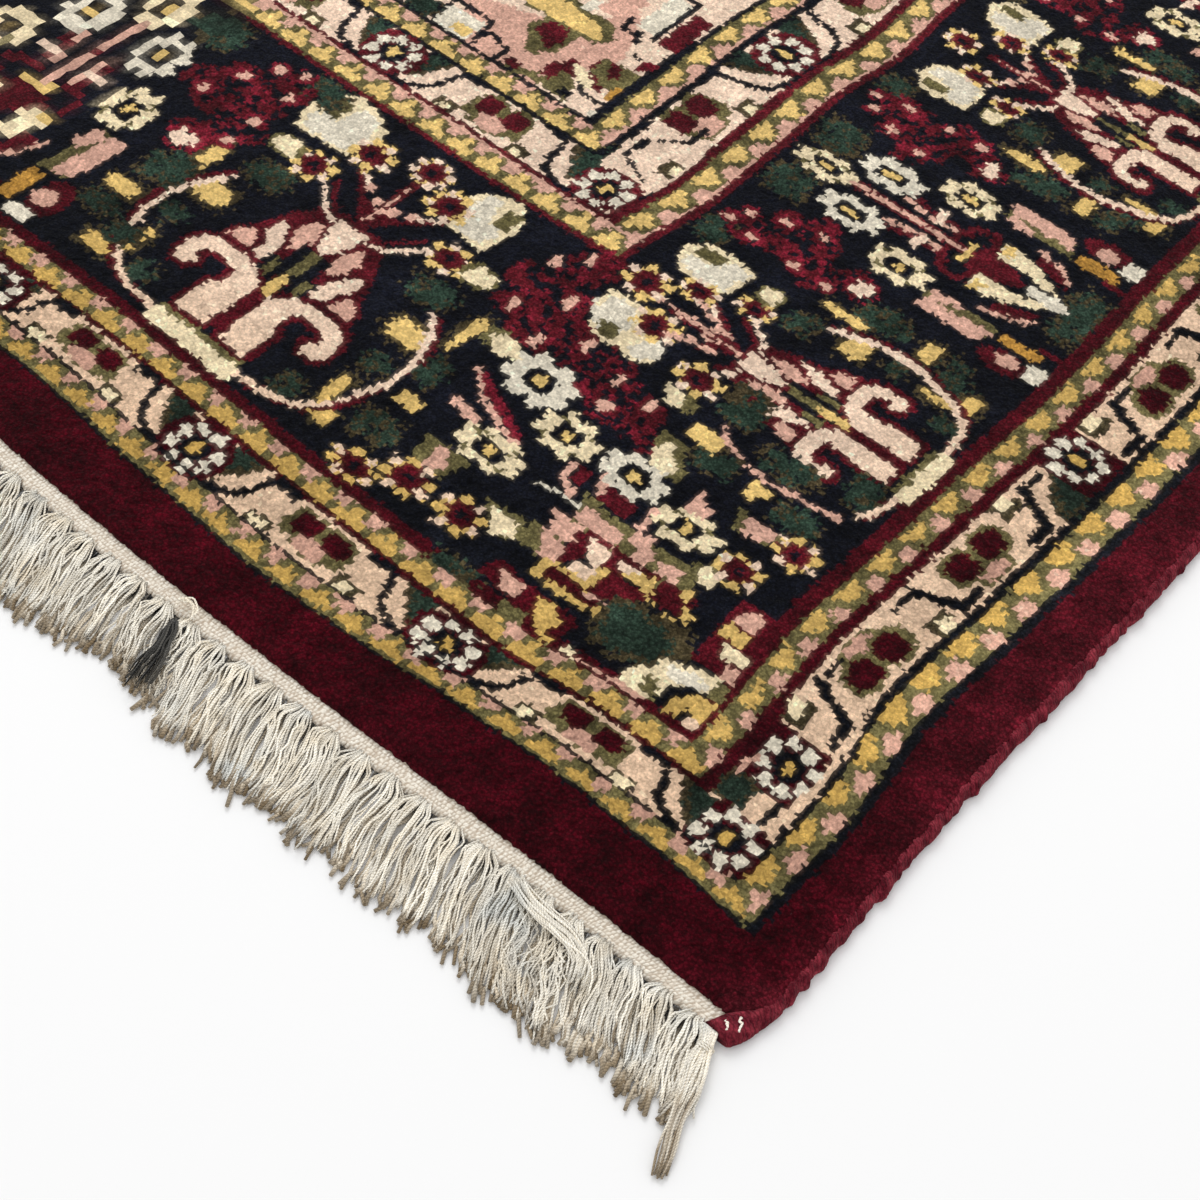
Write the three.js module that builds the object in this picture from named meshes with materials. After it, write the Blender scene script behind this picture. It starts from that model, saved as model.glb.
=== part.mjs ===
// A knotted silk rug lying flat: the pile cloth with its flat-woven ends, two overcast side cords and two
// fringes. Millimetres, +Z up, X across the rug, Y along it, the origin under the middle of the rug.
// The near end is -Y. Turned half round about Z, the rug is the same again.

import * as THREE from 'three';

// Driving dimensions
const rugWidth = 1370; // over both side cords
const pileLength = 2140; // from the first to the last row of knots
const flatEnd = 8.3; // flat-woven strip past the pile
const pileTop = 5.8;
const flatTop = 2.3;
const sideCordWidth = 5;
const sideCordTop = 5.2;
const gap = 0.3; // between neighbouring pieces
const fringeGap = 0.42; // a little more, because the wavy end is faceted

// The corner, where the side cord turns in and grows fat
const cornerStart = 14; // how far up the side the turn begins
const cornerTurnIn = 7;
const cornerFlare = 6.5; // how much wider the cord ends
const turnInReach = 115; // how far across the rug the turn still moves the cloth

// Slow waves of the edges, from the photograph
const endWave = { height: 2.3, length: 454, phase: 528 };
const sideWave = { height: 1.3, length: 350, phase: -870 };
const waveReach = 260; // how far into the rug an edge's wave is felt

// Fringe
const tasselPitch = 14;
const tasselGap = 1.4; // between the roots of two tassels
const knotRow = 2.8; // band along the flat end where the tassels are tied
const fringeTop = 2.1;
const tasselBelly = 3.7;
const tasselTipTop = 1.8;
const fringeEdge = 8.5; // from the rug's side to the first root
const cornerTassel = { length: 47, lean: 18, tip: 4 };

// Stretches of tassels along the end, as on the photographed corner, counted from that corner.
// until is the distance from the side, length is how far the tips reach, lean is how far they swing sideways.
const tasselStretches = [
  { until: 31, length: 31, lean: 12 },
  { until: 62, length: 29, lean: 16 },
  { until: 93, length: 39, lean: 20 },
  { until: 117, length: 37, lean: 18 },
  { until: 177, length: 38, lean: 7 },
  { until: 244, length: 37, lean: 12 },
  { until: 277, length: 29, lean: 10 },
  { until: 306, length: 36, lean: 4 },
  { until: 354, length: 37, lean: 17 },
];

// Materials, in the colours of the photograph
function clothMaterial(name, color, roughness) {
  const material = new THREE.MeshStandardMaterial({ color, roughness, metalness: 0 });
  material.name = name;
  return material;
}
const pileSilk = clothMaterial('pile_silk', 0x5a1426, 0.7);
const sideYarn = clothMaterial('side_yarn', 0x6d1c30, 0.8);
const cotton = clothMaterial('cotton_warp', 0xe2d8c6, 0.9);

// Slides from 0 to 1 without a corner at either end.
function ease(t) {
  const s = Math.min(Math.max(t, 0), 1);
  return s * s * (3 - 2 * s);
}

function wave({ height, length, phase }, at) {
  return height * Math.sin((2 * Math.PI * (at - phase)) / length);
}

const nearPile = -pileLength / 2;
const nearEdge = nearPile - flatEnd;
const halfWidth = rugWidth / 2;

// How far a place along a side is round its corner: 0 on the straight stretch, 1 at the cloth's last thread.
function cornerTurn(y) {
  const pastStart = Math.abs(y) - (pileLength / 2 - cornerStart);
  return Math.max(pastStart / (cornerStart + flatEnd), 0) ** 2;
}

// Where the waves and the drawn-in corners put a point of the evenly woven rug. The right side and the near
// end are worked out, and the other two follow from the half turn.
function sideShift(x, y) {
  const reach = ease((x - (halfWidth - waveReach)) / waveReach);
  const turnReach = ease((x - (halfWidth - turnInReach)) / turnInReach);
  return wave(sideWave, y) * reach - cornerTurnIn * cornerTurn(y) * turnReach;
}
function endShift(x, y) {
  const reach = ease((nearEdge + waveReach - y) / waveReach);
  return wave(endWave, x) * reach;
}
function woven(x, y) {
  return [
    x + sideShift(x, y) - sideShift(-x, -y),
    y + endShift(x, y) - endShift(-x, -y),
  ];
}

// Width of the side cord along its length. It flares to the corners' drawn-in wrap.
function cordWidth(y) {
  const pastStart = Math.abs(y) - (pileLength / 2 - cornerStart);
  return sideCordWidth + cornerFlare * ease(pastStart / cornerStart);
}

// A closed body from flat faces given as loops of points, each seen counterclockwise from outside.
function bodyFromFaces(name, faces, material) {
  const positions = [];
  for (const face of faces) {
    for (let i = 1; i + 1 < face.length; i++) {
      for (const point of [face[0], face[i], face[i + 1]]) positions.push(...point);
    }
  }
  const geometry = new THREE.BufferGeometry();
  geometry.setAttribute('position', new THREE.Float32BufferAttribute(positions, 3));
  geometry.computeVertexNormals();
  const mesh = new THREE.Mesh(geometry, material);
  mesh.name = name;
  return mesh;
}

// Even steps from one value to another, both ends included.
function steps(from, to, count) {
  return Array.from({ length: count + 1 }, (_, i) => from + ((to - from) * i) / count);
}

// The same stations mirrored about zero, the middle ones in between.
function mirrored(edge, middleCount) {
  const inner = edge[edge.length - 1];
  const middle = steps(inner, -inner, middleCount).slice(1, -1);
  return [...edge, ...middle, ...edge.map((v) => -v).reverse()];
}

// The knotted cloth: a grid of stations, high where there is pile and low on the flat-woven ends. Its top
// edge is a little rounded where the pile ends.
const pileEdge = [nearEdge, nearPile - 0.3, nearPile + 0.9, nearPile + 6, nearPile + cornerStart];
const clothRows = mirrored([...pileEdge, nearPile + 90], 14);
const clothColumnsInside = steps(-halfWidth + 24, halfWidth - 24, 24);

function clothTop(y) {
  const pastPile = Math.abs(y) - pileLength / 2;
  if (pastPile >= 0.2) return flatTop;
  return pastPile > -1 ? pileTop - 0.8 : pileTop;
}

function rugCloth() {
  const grid = clothRows.map((y) => {
    const side = halfWidth - cordWidth(y) - gap;
    return [-side, ...clothColumnsInside, side].map((x) => woven(x, y));
  });
  const top = grid.map((row, j) => row.map(([x, y]) => [x, y, clothTop(clothRows[j])]));
  const bottom = grid.map((row) => row.map(([x, y]) => [x, y, 0]));
  const last = { row: clothRows.length - 1, column: grid[0].length - 1 };
  const faces = [];
  for (let j = 0; j < last.row; j++) {
    for (let i = 0; i < last.column; i++) {
      faces.push([top[j][i], top[j][i + 1], top[j + 1][i + 1], top[j + 1][i]]);
      faces.push([bottom[j][i], bottom[j + 1][i], bottom[j + 1][i + 1], bottom[j][i + 1]]);
    }
    const r = last.column;
    faces.push([bottom[j][r], bottom[j + 1][r], top[j + 1][r], top[j][r]]);
    faces.push([bottom[j + 1][0], bottom[j][0], top[j][0], top[j + 1][0]]);
  }
  for (let i = 0; i < last.column; i++) {
    const t = last.row;
    faces.push([bottom[0][i], bottom[0][i + 1], top[0][i + 1], top[0][i]]);
    faces.push([bottom[t][i + 1], bottom[t][i], top[t][i], top[t][i + 1]]);
  }
  return bodyFromFaces('Rug_Cloth', faces, pileSilk);
}

// The section of a side cord: across is a share of its width from the cloth outwards, up is a share of its
// height. It is round on top and outside, and flat where it lies.
const cordSection = [
  { across: 0, up: 0 },
  { across: 0.8, up: 0 },
  { across: 1, up: 0.3 },
  { across: 0.96, up: 0.72 },
  { across: 0.7, up: 1 },
  { across: 0.25, up: 1 },
  { across: 0, up: 0.8 },
];

function sideCord(name, turn) {
  const rings = clothRows.map((y) => {
    const width = cordWidth(y);
    return cordSection.map(({ across, up }) => {
      const [x, wovenY] = woven(halfWidth - width * (1 - across), y);
      return [turn * x, turn * wovenY, up * sideCordTop];
    });
  });
  const faces = [];
  for (let j = 0; j + 1 < rings.length; j++) {
    for (let i = 0; i < cordSection.length; i++) {
      const next = (i + 1) % cordSection.length;
      faces.push([rings[j][i], rings[j + 1][i], rings[j + 1][next], rings[j][next]]);
    }
  }
  faces.push(rings[0]);
  faces.push([...rings[rings.length - 1]].reverse());
  return bodyFromFaces(name, faces, sideYarn);
}

// One row of tassels. Each has its root's two ends along the rug, its length and its lean.
function tasselRow() {
  const count = Math.floor((rugWidth - 2 * fringeEdge) / tasselPitch);
  const pitch = (rugWidth - 2 * fringeEdge) / count;
  const far = tasselStretches[tasselStretches.length - 1].until;
  const row = [];
  for (let i = 0; i < count; i++) {
    const fromCorner = fringeEdge + i * pitch;
    const place = fromCorner % far;
    const { length, lean } = tasselStretches.find(({ until }) => place < until);
    const fuller = 1 + 0.05 * Math.sin(2.4 * i);
    const right = halfWidth - fromCorner - tasselGap / 2;
    row.push({ right, left: right - pitch + tasselGap, length: length * fuller, lean: lean * fuller });
  }
  Object.assign(row[0], cornerTassel);
  return row.reverse();
}

// The fringe: a band along the flat-woven end, with the tassels hanging from it as the teeth of a comb.
function fringe(name, turn) {
  const backY = nearEdge - fringeGap;
  const rootY = backY - knotRow;
  const place = (x, y, z) => {
    const [wovenX, wovenY] = woven(x, Math.max(y, nearEdge));
    return [turn * wovenX, turn * (wovenY + Math.min(y - nearEdge, 0)), z];
  };
  const faces = [];
  const topAndBottom = (corners, heights) => {
    faces.push(corners.map(([x, y], k) => place(x, y, heights[k])));
    faces.push(corners.map(([x, y]) => place(x, y, 0)).reverse());
  };
  const wall = ([ax, ay], [bx, by], az, bz) => {
    faces.push([place(ax, ay, 0), place(bx, by, 0), place(bx, by, bz), place(ax, ay, az)]);
  };
  const level = Array(4).fill(fringeTop);
  const row = tasselRow();
  row.forEach((tassel, i) => {
    const { left, right, length, lean } = tassel;
    const width = right - left;
    const tipWidth = tassel.tip ?? width * 0.8;
    const ring = (down, middle, ringWidth) => [
      [middle - ringWidth / 2, rootY - down],
      [middle + ringWidth / 2, rootY - down],
    ];
    const middle = (left + right) / 2;
    const rings = [
      [[left, rootY], [right, rootY]],
      ring(length * 0.45, middle + lean * 0.3, (width + tipWidth) / 2),
      ring(length, middle + lean, tipWidth),
    ];
    const tops = [fringeTop, tasselBelly, tasselTipTop];
    topAndBottom([[left, rootY], [right, rootY], [right, backY], [left, backY]], level);
    for (let k = 0; k < 2; k++) {
      const [upperLeft, upperRight] = rings[k];
      const [lowerLeft, lowerRight] = rings[k + 1];
      const heights = [tops[k + 1], tops[k + 1], tops[k], tops[k]];
      topAndBottom([lowerLeft, lowerRight, upperRight, upperLeft], heights);
      wall(upperLeft, lowerLeft, tops[k], tops[k + 1]);
      wall(lowerRight, upperRight, tops[k + 1], tops[k]);
    }
    wall(rings[2][0], rings[2][1], tops[2], tops[2]);
    wall([right, backY], [left, backY], fringeTop, fringeTop);
    if (i === 0) wall([left, backY], [left, rootY], fringeTop, fringeTop);
    if (i + 1 === row.length) {
      wall([right, rootY], [right, backY], fringeTop, fringeTop);
      return;
    }
    const nextLeft = row[i + 1].left;
    topAndBottom([[right, rootY], [nextLeft, rootY], [nextLeft, backY], [right, backY]], level);
    wall([right, rootY], [nextLeft, rootY], fringeTop, fringeTop);
    wall([nextLeft, backY], [right, backY], fringeTop, fringeTop);
  });
  return bodyFromFaces(name, faces, cotton);
}

const rug = new THREE.Group();
rug.name = 'silk_rug';
rug.add(rugCloth());
rug.add(sideCord('Side_Cord_Right', 1));
rug.add(sideCord('Side_Cord_Left', -1));
rug.add(fringe('Fringe_Near', 1));
rug.add(fringe('Fringe_Far', -1));

export default rug;
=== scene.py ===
# %% [markdown]
# A hand-knotted silk rug, seen from above one of its corners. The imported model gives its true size: one flat
# cloth, two wrapped side cords and two combs of tassels. This script gives each of them its real surface: a
# pile of single knots, a woven cotton strip, wrapped yarn and plied warp ends.

# %% The frame
import math

import bpy
import numpy as np
from mathutils import Matrix, Vector


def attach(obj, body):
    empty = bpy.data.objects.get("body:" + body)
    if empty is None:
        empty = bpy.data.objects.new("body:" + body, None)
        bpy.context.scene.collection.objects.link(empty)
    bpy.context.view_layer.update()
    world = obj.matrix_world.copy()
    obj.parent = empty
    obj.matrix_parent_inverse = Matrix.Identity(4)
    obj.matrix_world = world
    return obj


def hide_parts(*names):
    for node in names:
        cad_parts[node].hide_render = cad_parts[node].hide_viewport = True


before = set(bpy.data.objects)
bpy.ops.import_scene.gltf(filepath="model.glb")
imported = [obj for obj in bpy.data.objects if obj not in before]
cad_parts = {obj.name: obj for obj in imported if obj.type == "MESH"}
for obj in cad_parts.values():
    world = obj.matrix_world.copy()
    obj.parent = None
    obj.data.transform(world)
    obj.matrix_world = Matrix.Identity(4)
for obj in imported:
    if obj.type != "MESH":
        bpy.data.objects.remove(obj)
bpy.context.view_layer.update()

# %% [markdown]
# The sizes that the pieces share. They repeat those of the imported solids, in metres, so that every piece lies
# where its solid does. x runs across the rug, y along it and z up. A rug off the loom is never quite
# straight: its end and its sides are a little wavy, and its corners are drawn in.

# %% Sizes
rug_width, pile_length = 1.370, 2.140
flat_end = 0.0083
pile_top, flat_top = 0.0058, 0.0023
side_cord_width, side_cord_top = 0.005, 0.0052
gap = 0.0003
half_rug = rug_width / 2
near_pile = -pile_length / 2
near_edge = near_pile - flat_end

corner_start, corner_turn_in, corner_flare, turn_in_reach = 0.014, 0.007, 0.0065, 0.115
end_wave = (0.0023, 0.454, 0.528)
side_wave = (0.0013, 0.350, -0.870)
wave_reach = 0.260


def ease(t):
    """Slides from 0 to 1 with no corner at either end."""
    t = np.clip(t, 0, 1)
    return t * t * (3 - 2 * t)


def wave(shape, at):
    """The sine wave of a height, length and phase."""
    height, length, phase = shape
    return height * np.sin(2 * np.pi * (at - phase) / length)


def side_shift(x, y):
    """How far the right side's wave and drawn-in corners move a point across the rug."""
    reach = ease((x - (half_rug - wave_reach)) / wave_reach)
    turn_reach = ease((x - (half_rug - turn_in_reach)) / turn_in_reach)
    past_start = np.abs(y) - (pile_length / 2 - corner_start)
    turn = np.maximum(past_start / (corner_start + flat_end), 0) ** 2
    return wave(side_wave, y) * reach - corner_turn_in * turn * turn_reach


def end_shift(x, y):
    """How far the near end's wave moves a point along the rug."""
    return wave(end_wave, x) * ease((near_edge + wave_reach - y) / wave_reach)


def woven(x, y):
    """Where a point of the evenly woven rug really lies. The far end and left side follow by a half turn."""
    return x + side_shift(x, y) - side_shift(-x, -y), y + end_shift(x, y) - end_shift(-x, -y)


def cord_width(y):
    """The side cord's width, which flares where it is wrapped round the corner."""
    past_start = np.abs(y) - (pile_length / 2 - corner_start)
    return side_cord_width + corner_flare * ease(past_start / corner_start)


# %% [markdown]
# The camera comes before anything is modelled, so that each piece can be judged in the photograph's view. It
# looks down at the near right corner from 61 cm above the pile, a little turned and a little tilted to one
# side, with a lens of about 62 mm on a 36 mm sensor.

# %% The camera
camera_height = 0.611
camera_foot = (0.7946, -1.3534)
camera_heading, camera_tilt, camera_roll = math.radians(34.335), math.radians(52.745), math.radians(7.715)

camera = bpy.data.objects.new("Camera", bpy.data.cameras.new("Camera"))
bpy.context.scene.collection.objects.link(camera)
bpy.context.scene.camera = camera
camera.data.sensor_width = 36
camera.data.lens = 61.65
camera.data.clip_start = 0.01
across = Vector((math.cos(camera_heading), math.sin(camera_heading), 0))
ahead = Vector((-math.sin(camera_heading), math.cos(camera_heading), 0)) * math.cos(camera_tilt)
ahead.z = -math.sin(camera_tilt)
upward = across.cross(ahead)
right = across * math.cos(camera_roll) + upward * math.sin(camera_roll)
above = upward * math.cos(camera_roll) - across * math.sin(camera_roll)
turned = Matrix((right, above, -ahead)).transposed().to_4x4()
camera.matrix_world = Matrix.Translation((*camera_foot, camera_height + pile_top)) @ turned
print("the camera is", round(camera_height * 100), "cm above the pile")

# %% [markdown]
# The design. A weaver works from a cartoon, which is a plan with one square for each knot. The quarter
# nearest to the photographed corner is drawn here in code with a few small brushes, and the other three
# quarters mirror it. Places on the cartoon are in its own units, counted inwards from the side (x) and from
# the end (y), and one unit is 0.873 mm of rug. Colours are numbers into a short list of dyed silks.

# %% The cartoon's size and its dyed silks
cartoon_unit = 0.873e-3
columns, rows = 480, 750
knot_x = rug_width / 2 / columns / cartoon_unit
knot_y = pile_length / 2 / rows / cartoon_unit

silks = {
    "burgundy": (58, 2, 12),
    "navy": (10, 12, 18),
    "beige": (229, 195, 164),
    "pink": (203, 157, 137),
    "gold": (195, 158, 84),
    "olive": (106, 98, 62),
    "green": (38, 52, 42),
    "brown": (66, 58, 38),
    "cream": (242, 222, 182),
    "pale": (228, 218, 197),
    "amber": (184, 136, 62),
    "rose": (118, 26, 42),
}
dye = {name: number for number, name in enumerate(silks)}
# Painted sheen: lighter, sheen-lit copies of the same dyes, blended in towards the middle of the rug
sheen_lit_silks = {
    "burgundy": (88, 19, 29),
    "navy": (13, 15, 24),
    "beige": (243, 213, 188),
    "pink": (220, 172, 152),
    "gold": (231, 196, 122),
    "green": (42, 60, 49),
    "brown": (72, 62, 42),
}
cartoon = np.full((rows, columns), dye["navy"], np.uint8)

# A mottle of soft patches, evenly spread between 0 and 1, for leaves and bushes that are not one flat colour
mottle = np.random.default_rng(5).normal(0, 1, (rows, columns))
for _ in range(2):
    mottle = mottle + np.roll(mottle, 1, 0) + np.roll(mottle, 1, 1) + np.roll(mottle, (1, 1), (0, 1))
mottle = mottle.ravel().argsort().argsort().reshape(rows, columns) / mottle.size

# %% [markdown]
# The brushes. Each works on the few squares round its shape and fills those whose centre is inside. A pen
# has its own origin and directions, so that the same motif is drawn on the end border, where it runs along
# x, and on the side border, where it runs along y. A pen with twins also draws the mirror image.

# %% The pen and its brushes
class Pen:
    """Draws in a motif's own coordinates: a along the border, b inwards from the border's outer line."""

    def __init__(self, origin=(0, 0), along=(1, 0), inward=(0, 1), twins=False):
        self.origin = np.array(origin, float)
        self.axes = np.array([along, inward], float)
        self.twins = twins

    def fill(self, silk, low, high, inside, share=1.0):
        """Fills the squares between two corners where inside(a, b) is true, or a mottled share of them."""
        patchy = np.roll(mottle, 37 * dye[silk], 1)
        for side in (1, -1) if self.twins else (1,):
            corners = [
                self.origin + side * a * self.axes[0] + b * self.axes[1]
                for a in (low[0], high[0])
                for b in (low[1], high[1])
            ]
            first = np.floor(np.min(corners, 0) / (knot_x, knot_y)).astype(int) - 1
            last = np.ceil(np.max(corners, 0) / (knot_x, knot_y)).astype(int) + 1
            across = np.arange(max(first[0], 0), min(last[0], columns))
            down = np.arange(max(first[1], 0), min(last[1], rows))
            if not len(across) or not len(down):
                continue
            x = (across[None, :] + 0.5) * knot_x - self.origin[0]
            y = (down[:, None] + 0.5) * knot_y - self.origin[1]
            along, inward = self.axes
            a = side * (x * along[0] + y * along[1]) / (along @ along)
            b = (x * inward[0] + y * inward[1]) / (inward @ inward)
            patch = cartoon[down[0] : down[-1] + 1, across[0] : across[-1] + 1]
            kept = patchy[down[0] : down[-1] + 1, across[0] : across[-1] + 1] < share
            patch[inside(a, b) & kept] = dye[silk]

    def oval(self, silk, a, b, ra, rb, share=1.0, power=2):
        """An ellipse round (a, b). A higher power makes it squarer."""

        def inside(p, q):
            return abs((p - a) / ra) ** power + abs((q - b) / rb) ** power <= 1

        self.fill(silk, (a - ra, b - rb), (a + ra, b + rb), inside, share)

    def block(self, silk, a0, b0, a1, b1):
        """A rectangle between two corners, in any order."""
        a0, a1, b0, b1 = min(a0, a1), max(a0, a1), min(b0, b1), max(b0, b1)

        def inside(p, q):
            return (p >= a0) & (p < a1) & (q >= b0) & (q < b1)

        self.fill(silk, (a0, b0), (a1, b1), inside)

    def shape(self, silk, *points):
        """A polygon through these points."""
        points = np.array(points, float)

        def inside(p, q):
            p, q = np.broadcast_arrays(p, q)
            odd = np.zeros(p.shape, bool)
            for (a0, b0), (a1, b1) in zip(points, np.roll(points, -1, 0)):
                if b0 == b1:
                    continue
                crosses = (b0 > q) != (b1 > q)
                odd ^= crosses & (p < (a1 - a0) * (q - b0) / (b1 - b0) + a0)
            return odd

        self.fill(silk, points.min(0), points.max(0), inside)

    def line(self, silk, width, *points):
        """A stroke of one width through these points."""
        points = np.array(points, float)
        scale = np.linalg.norm(self.axes, axis=1)

        def inside(p, q):
            p, q = np.broadcast_arrays(p * scale[0], q * scale[1])
            near = np.zeros(p.shape, bool)
            for start, end in zip(points[:-1] * scale, points[1:] * scale):
                step = end - start
                t = ((p - start[0]) * step[0] + (q - start[1]) * step[1]) / max(step @ step, 1e-9)
                t = np.clip(t, 0, 1)
                off = (p - start[0] - t * step[0]) ** 2 + (q - start[1] - t * step[1]) ** 2
                near |= off <= (width / 2) ** 2
            return near

        self.fill(silk, points.min(0) - width, points.max(0) + width, inside)

    def outlined(self, silk, edge, width, *points):
        """A polygon with an outline of another silk round it."""
        self.line(edge, 2 * width, *points, points[0])
        self.shape(silk, *points)

    def spots(self, silk, ra, rb, *points):
        """The same small oval at each point."""
        for a, b in points:
            self.oval(silk, a, b, ra, rb)


page = Pen()

# %% [markdown]
# The border is a set of frames, one inside the other. Each is filled from its outer line to the middle of the
# rug, and the next one covers its inner part. The side's bands are a little wider than the end's, as is usual
# where the knots are wider than they are high.

# %% The plain frames, from the outside in
frames = (
    # silk, distance from the side, distance from the end
    ("burgundy", 0, 0),
    ("navy", 28.5, 31.5),
    ("olive", 33, 33),
    ("navy", 48, 43.5),
    ("beige", 52, 46),
    ("burgundy", 81, 68),
    ("olive", 88, 71.5),
    ("burgundy", 101, 83.5),
    ("navy", 109, 90),
    ("burgundy", 297, 278),
    ("olive", 302, 281.5),
    ("burgundy", 318, 297),
    ("beige", 325, 300),
    ("navy", 360, 330.5),
    ("olive", 364, 333),
    ("navy", 379.5, 346.5),
    ("beige", 383, 350),
)
past_middle = 2000
for silk, from_side, from_end in frames:
    page.block(silk, from_side, from_end, past_middle, past_middle)


# %% [markdown]
# The narrow guards. Their small repeat is charted here: stepped gold teeth stand on one line of the guard,
# pink steps come down between them from the other, and olive shows round them. The side's repeat is longer.

# %% The guards
end_teeth = (
    # silk, from and to across half a repeat, from and to up the guard, as shares
    ("pink", 0.33, 0.50, 0.50, 1.00),
    ("pink", 0.26, 0.50, 0.84, 1.00),
    ("gold", 0.00, 0.38, 0.06, 0.44),
    ("gold", 0.00, 0.28, 0.40, 0.54),
    ("gold", 0.00, 0.12, 0.54, 0.90),
    ("olive", 0.06, 0.20, 0.80, 0.94),
    ("olive", 0.44, 0.50, 0.30, 0.52),
)
side_teeth = (
    ("pink", 0.35, 0.50, 0.46, 0.97),
    ("pink", 0.25, 0.50, 0.68, 0.90),
    ("gold", 0.00, 0.33, 0.04, 0.40),
    ("gold", 0.00, 0.22, 0.40, 0.54),
    ("gold", 0.00, 0.10, 0.54, 0.74),
)
edge_of_pink = (("pink", 0.00, 0.50, 0.84, 1.00),)


def guard(pen, start, stop, pitch, height, teeth):
    """The chart's repeat along a guard, from start to stop."""
    count = max(round((stop - start) / pitch), 1)
    step = (stop - start) / count
    for tooth in range(count):
        middle = start + (tooth + 0.5) * step
        for silk, near, far, low, high in teeth:
            for side in (-1, 1):
                first, last = middle + side * near * step, middle + side * far * step
                pen.block(silk, first, low * height, last, high * height)


half_width, half_length = columns * knot_x, rows * knot_y
end_pitch, side_pitch = 20.3, 24.5
guard(Pen((0, 33)), 35, half_width, 19.6, 10.5, end_teeth)
guard(Pen((0, 71.5)), 88, half_width, end_pitch, 12, end_teeth)
guard(Pen((0, 281.5)), 303, half_width, end_pitch, 15.5, edge_of_pink + end_teeth)
guard(Pen((0, 333)), 364, half_width, end_pitch, 13.5, edge_of_pink + end_teeth)
guard(Pen((48, 0), (0, 1), (-1, 0)), 44, half_length, side_pitch, 15, side_teeth)
guard(Pen((101, 0), (0, 1), (-1, 0)), 84, half_length, side_pitch, 13, side_teeth)
guard(Pen((318, 0), (0, 1), (-1, 0)), 297, half_length, side_pitch, 16, edge_of_pink + side_teeth)
guard(Pen((379, 0), (0, 1), (-1, 0)), 346.5, half_length, side_pitch, 15, edge_of_pink + side_teeth)


# %% [markdown]
# The rosettes, buds and leaves that return all over the border. A rosette is a disc with a ring of petals, a
# dark eye and a gold heart.

# %% Rosettes, buds and leaves
def petals(pen, silk, a, b, ra, rb, count=8, reach=0.76, size=0.27, first=0.5):
    """A ring of small ovals round (a, b)."""
    for petal in range(count):
        angle = 2 * math.pi * (petal + first) / count
        along, inward = reach * ra * math.cos(angle), reach * rb * math.sin(angle)
        pen.oval(silk, a + along, b + inward, size * ra, size * rb)


def white_rosette(pen, a, b, ra, rb, silk="pale", spotted=False):
    """A large pale flower. The spotted kind is cream with olive between its petals."""
    pen.oval(silk, a, b, ra * 0.8, rb * 0.8)
    petals(pen, silk, a, b, ra, rb, reach=0.78, size=0.24)
    if spotted:
        petals(pen, "olive", a, b, ra, rb, count=4, reach=0.66, size=0.17)
    pen.block("navy", a - ra * 0.42, b - rb * 0.45, a + ra * 0.42, b + rb * 0.45)
    petals(pen, silk, a, b, ra, rb, count=4, reach=0.6, size=0.1)
    pen.oval("gold", a, b, max(ra * 0.17, 2), max(rb * 0.28, 2.6))


def gold_rosette(pen, a, b, ra=13, rb=11):
    """A small flower with gold petals and a burgundy middle."""
    pen.oval("burgundy", a, b, ra * 0.74, rb * 0.74)
    petals(pen, "gold", a, b, ra, rb, reach=0.8, size=0.25)
    petals(pen, "beige", a, b, ra, rb, count=4, reach=0.82, size=0.21, first=0.25)
    pen.oval("burgundy", a, b, ra * 0.58, rb * 0.6)
    pen.oval("navy", a, b, ra * 0.2, rb * 0.26)


def guard_rosette(pen, a, b, ra=14, rb=13, reach=19):
    """The flower of the floral guards: pale petals on burgundy round a dark ring."""
    pen.oval("burgundy", a, b, reach, rb * 1.15, power=2.6)
    petals(pen, "pale", a, b, ra, rb, reach=0.84, size=0.25)
    pen.oval("navy", a, b, ra * 0.52, rb * 0.56)
    pen.oval("gold", a, b, ra * 0.2, rb * 0.3)


def bud(pen, a, b, ra=5.5, rb=6.5, heart="pink"):
    """A burgundy bud with a light heart."""
    pen.oval("rose", a, b, ra, rb, share=0.75)
    pen.oval(heart, a, b, ra * 0.45, rb * 0.58)


def leaf(pen, a, b, ra, rb):
    """A brown leaf with a mottled green middle."""
    pen.oval("brown", a, b, ra, rb, share=0.75, power=3.5)
    pen.oval("green", a, b, ra * 0.85, rb * 0.85, share=0.8, power=3.5)


def bush(pen, places, ra, rb):
    """A patch of mottled reds round each place."""
    for a, b in places:
        pen.oval("burgundy", a, b, ra * 1.2, rb * 1.2, share=0.5)
        pen.oval("rose", a, b, ra, rb, share=0.2)


# %% [markdown]
# The floral guards. A dark vine steps from one edge to the other between pairs of burgundy lobes, each pair
# in an olive frame, and rosettes with green leaves beside them stand in its bends.

# %% The floral guards
def lobes(pen, a, height):
    """A pair of burgundy lobes in their olive frame, with pink under them."""
    pen.oval("olive", a, height * 0.3, 12, height * 0.2, power=3)
    for side in (-1, 1):
        pen.oval("olive", a + side * 8.8, height * 0.66, 9.5, height * 0.32, power=3)
        pen.oval("olive", a + side * 15, height * 0.44, 4.5, height * 0.2, power=3)
    pen.oval("pink", a, height * 0.32, 8, height * 0.19, power=4)
    for side in (-1, 1):
        pen.oval("burgundy", a + side * 8.8, height * 0.67, 6.9, height * 0.24, power=3.5)


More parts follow.
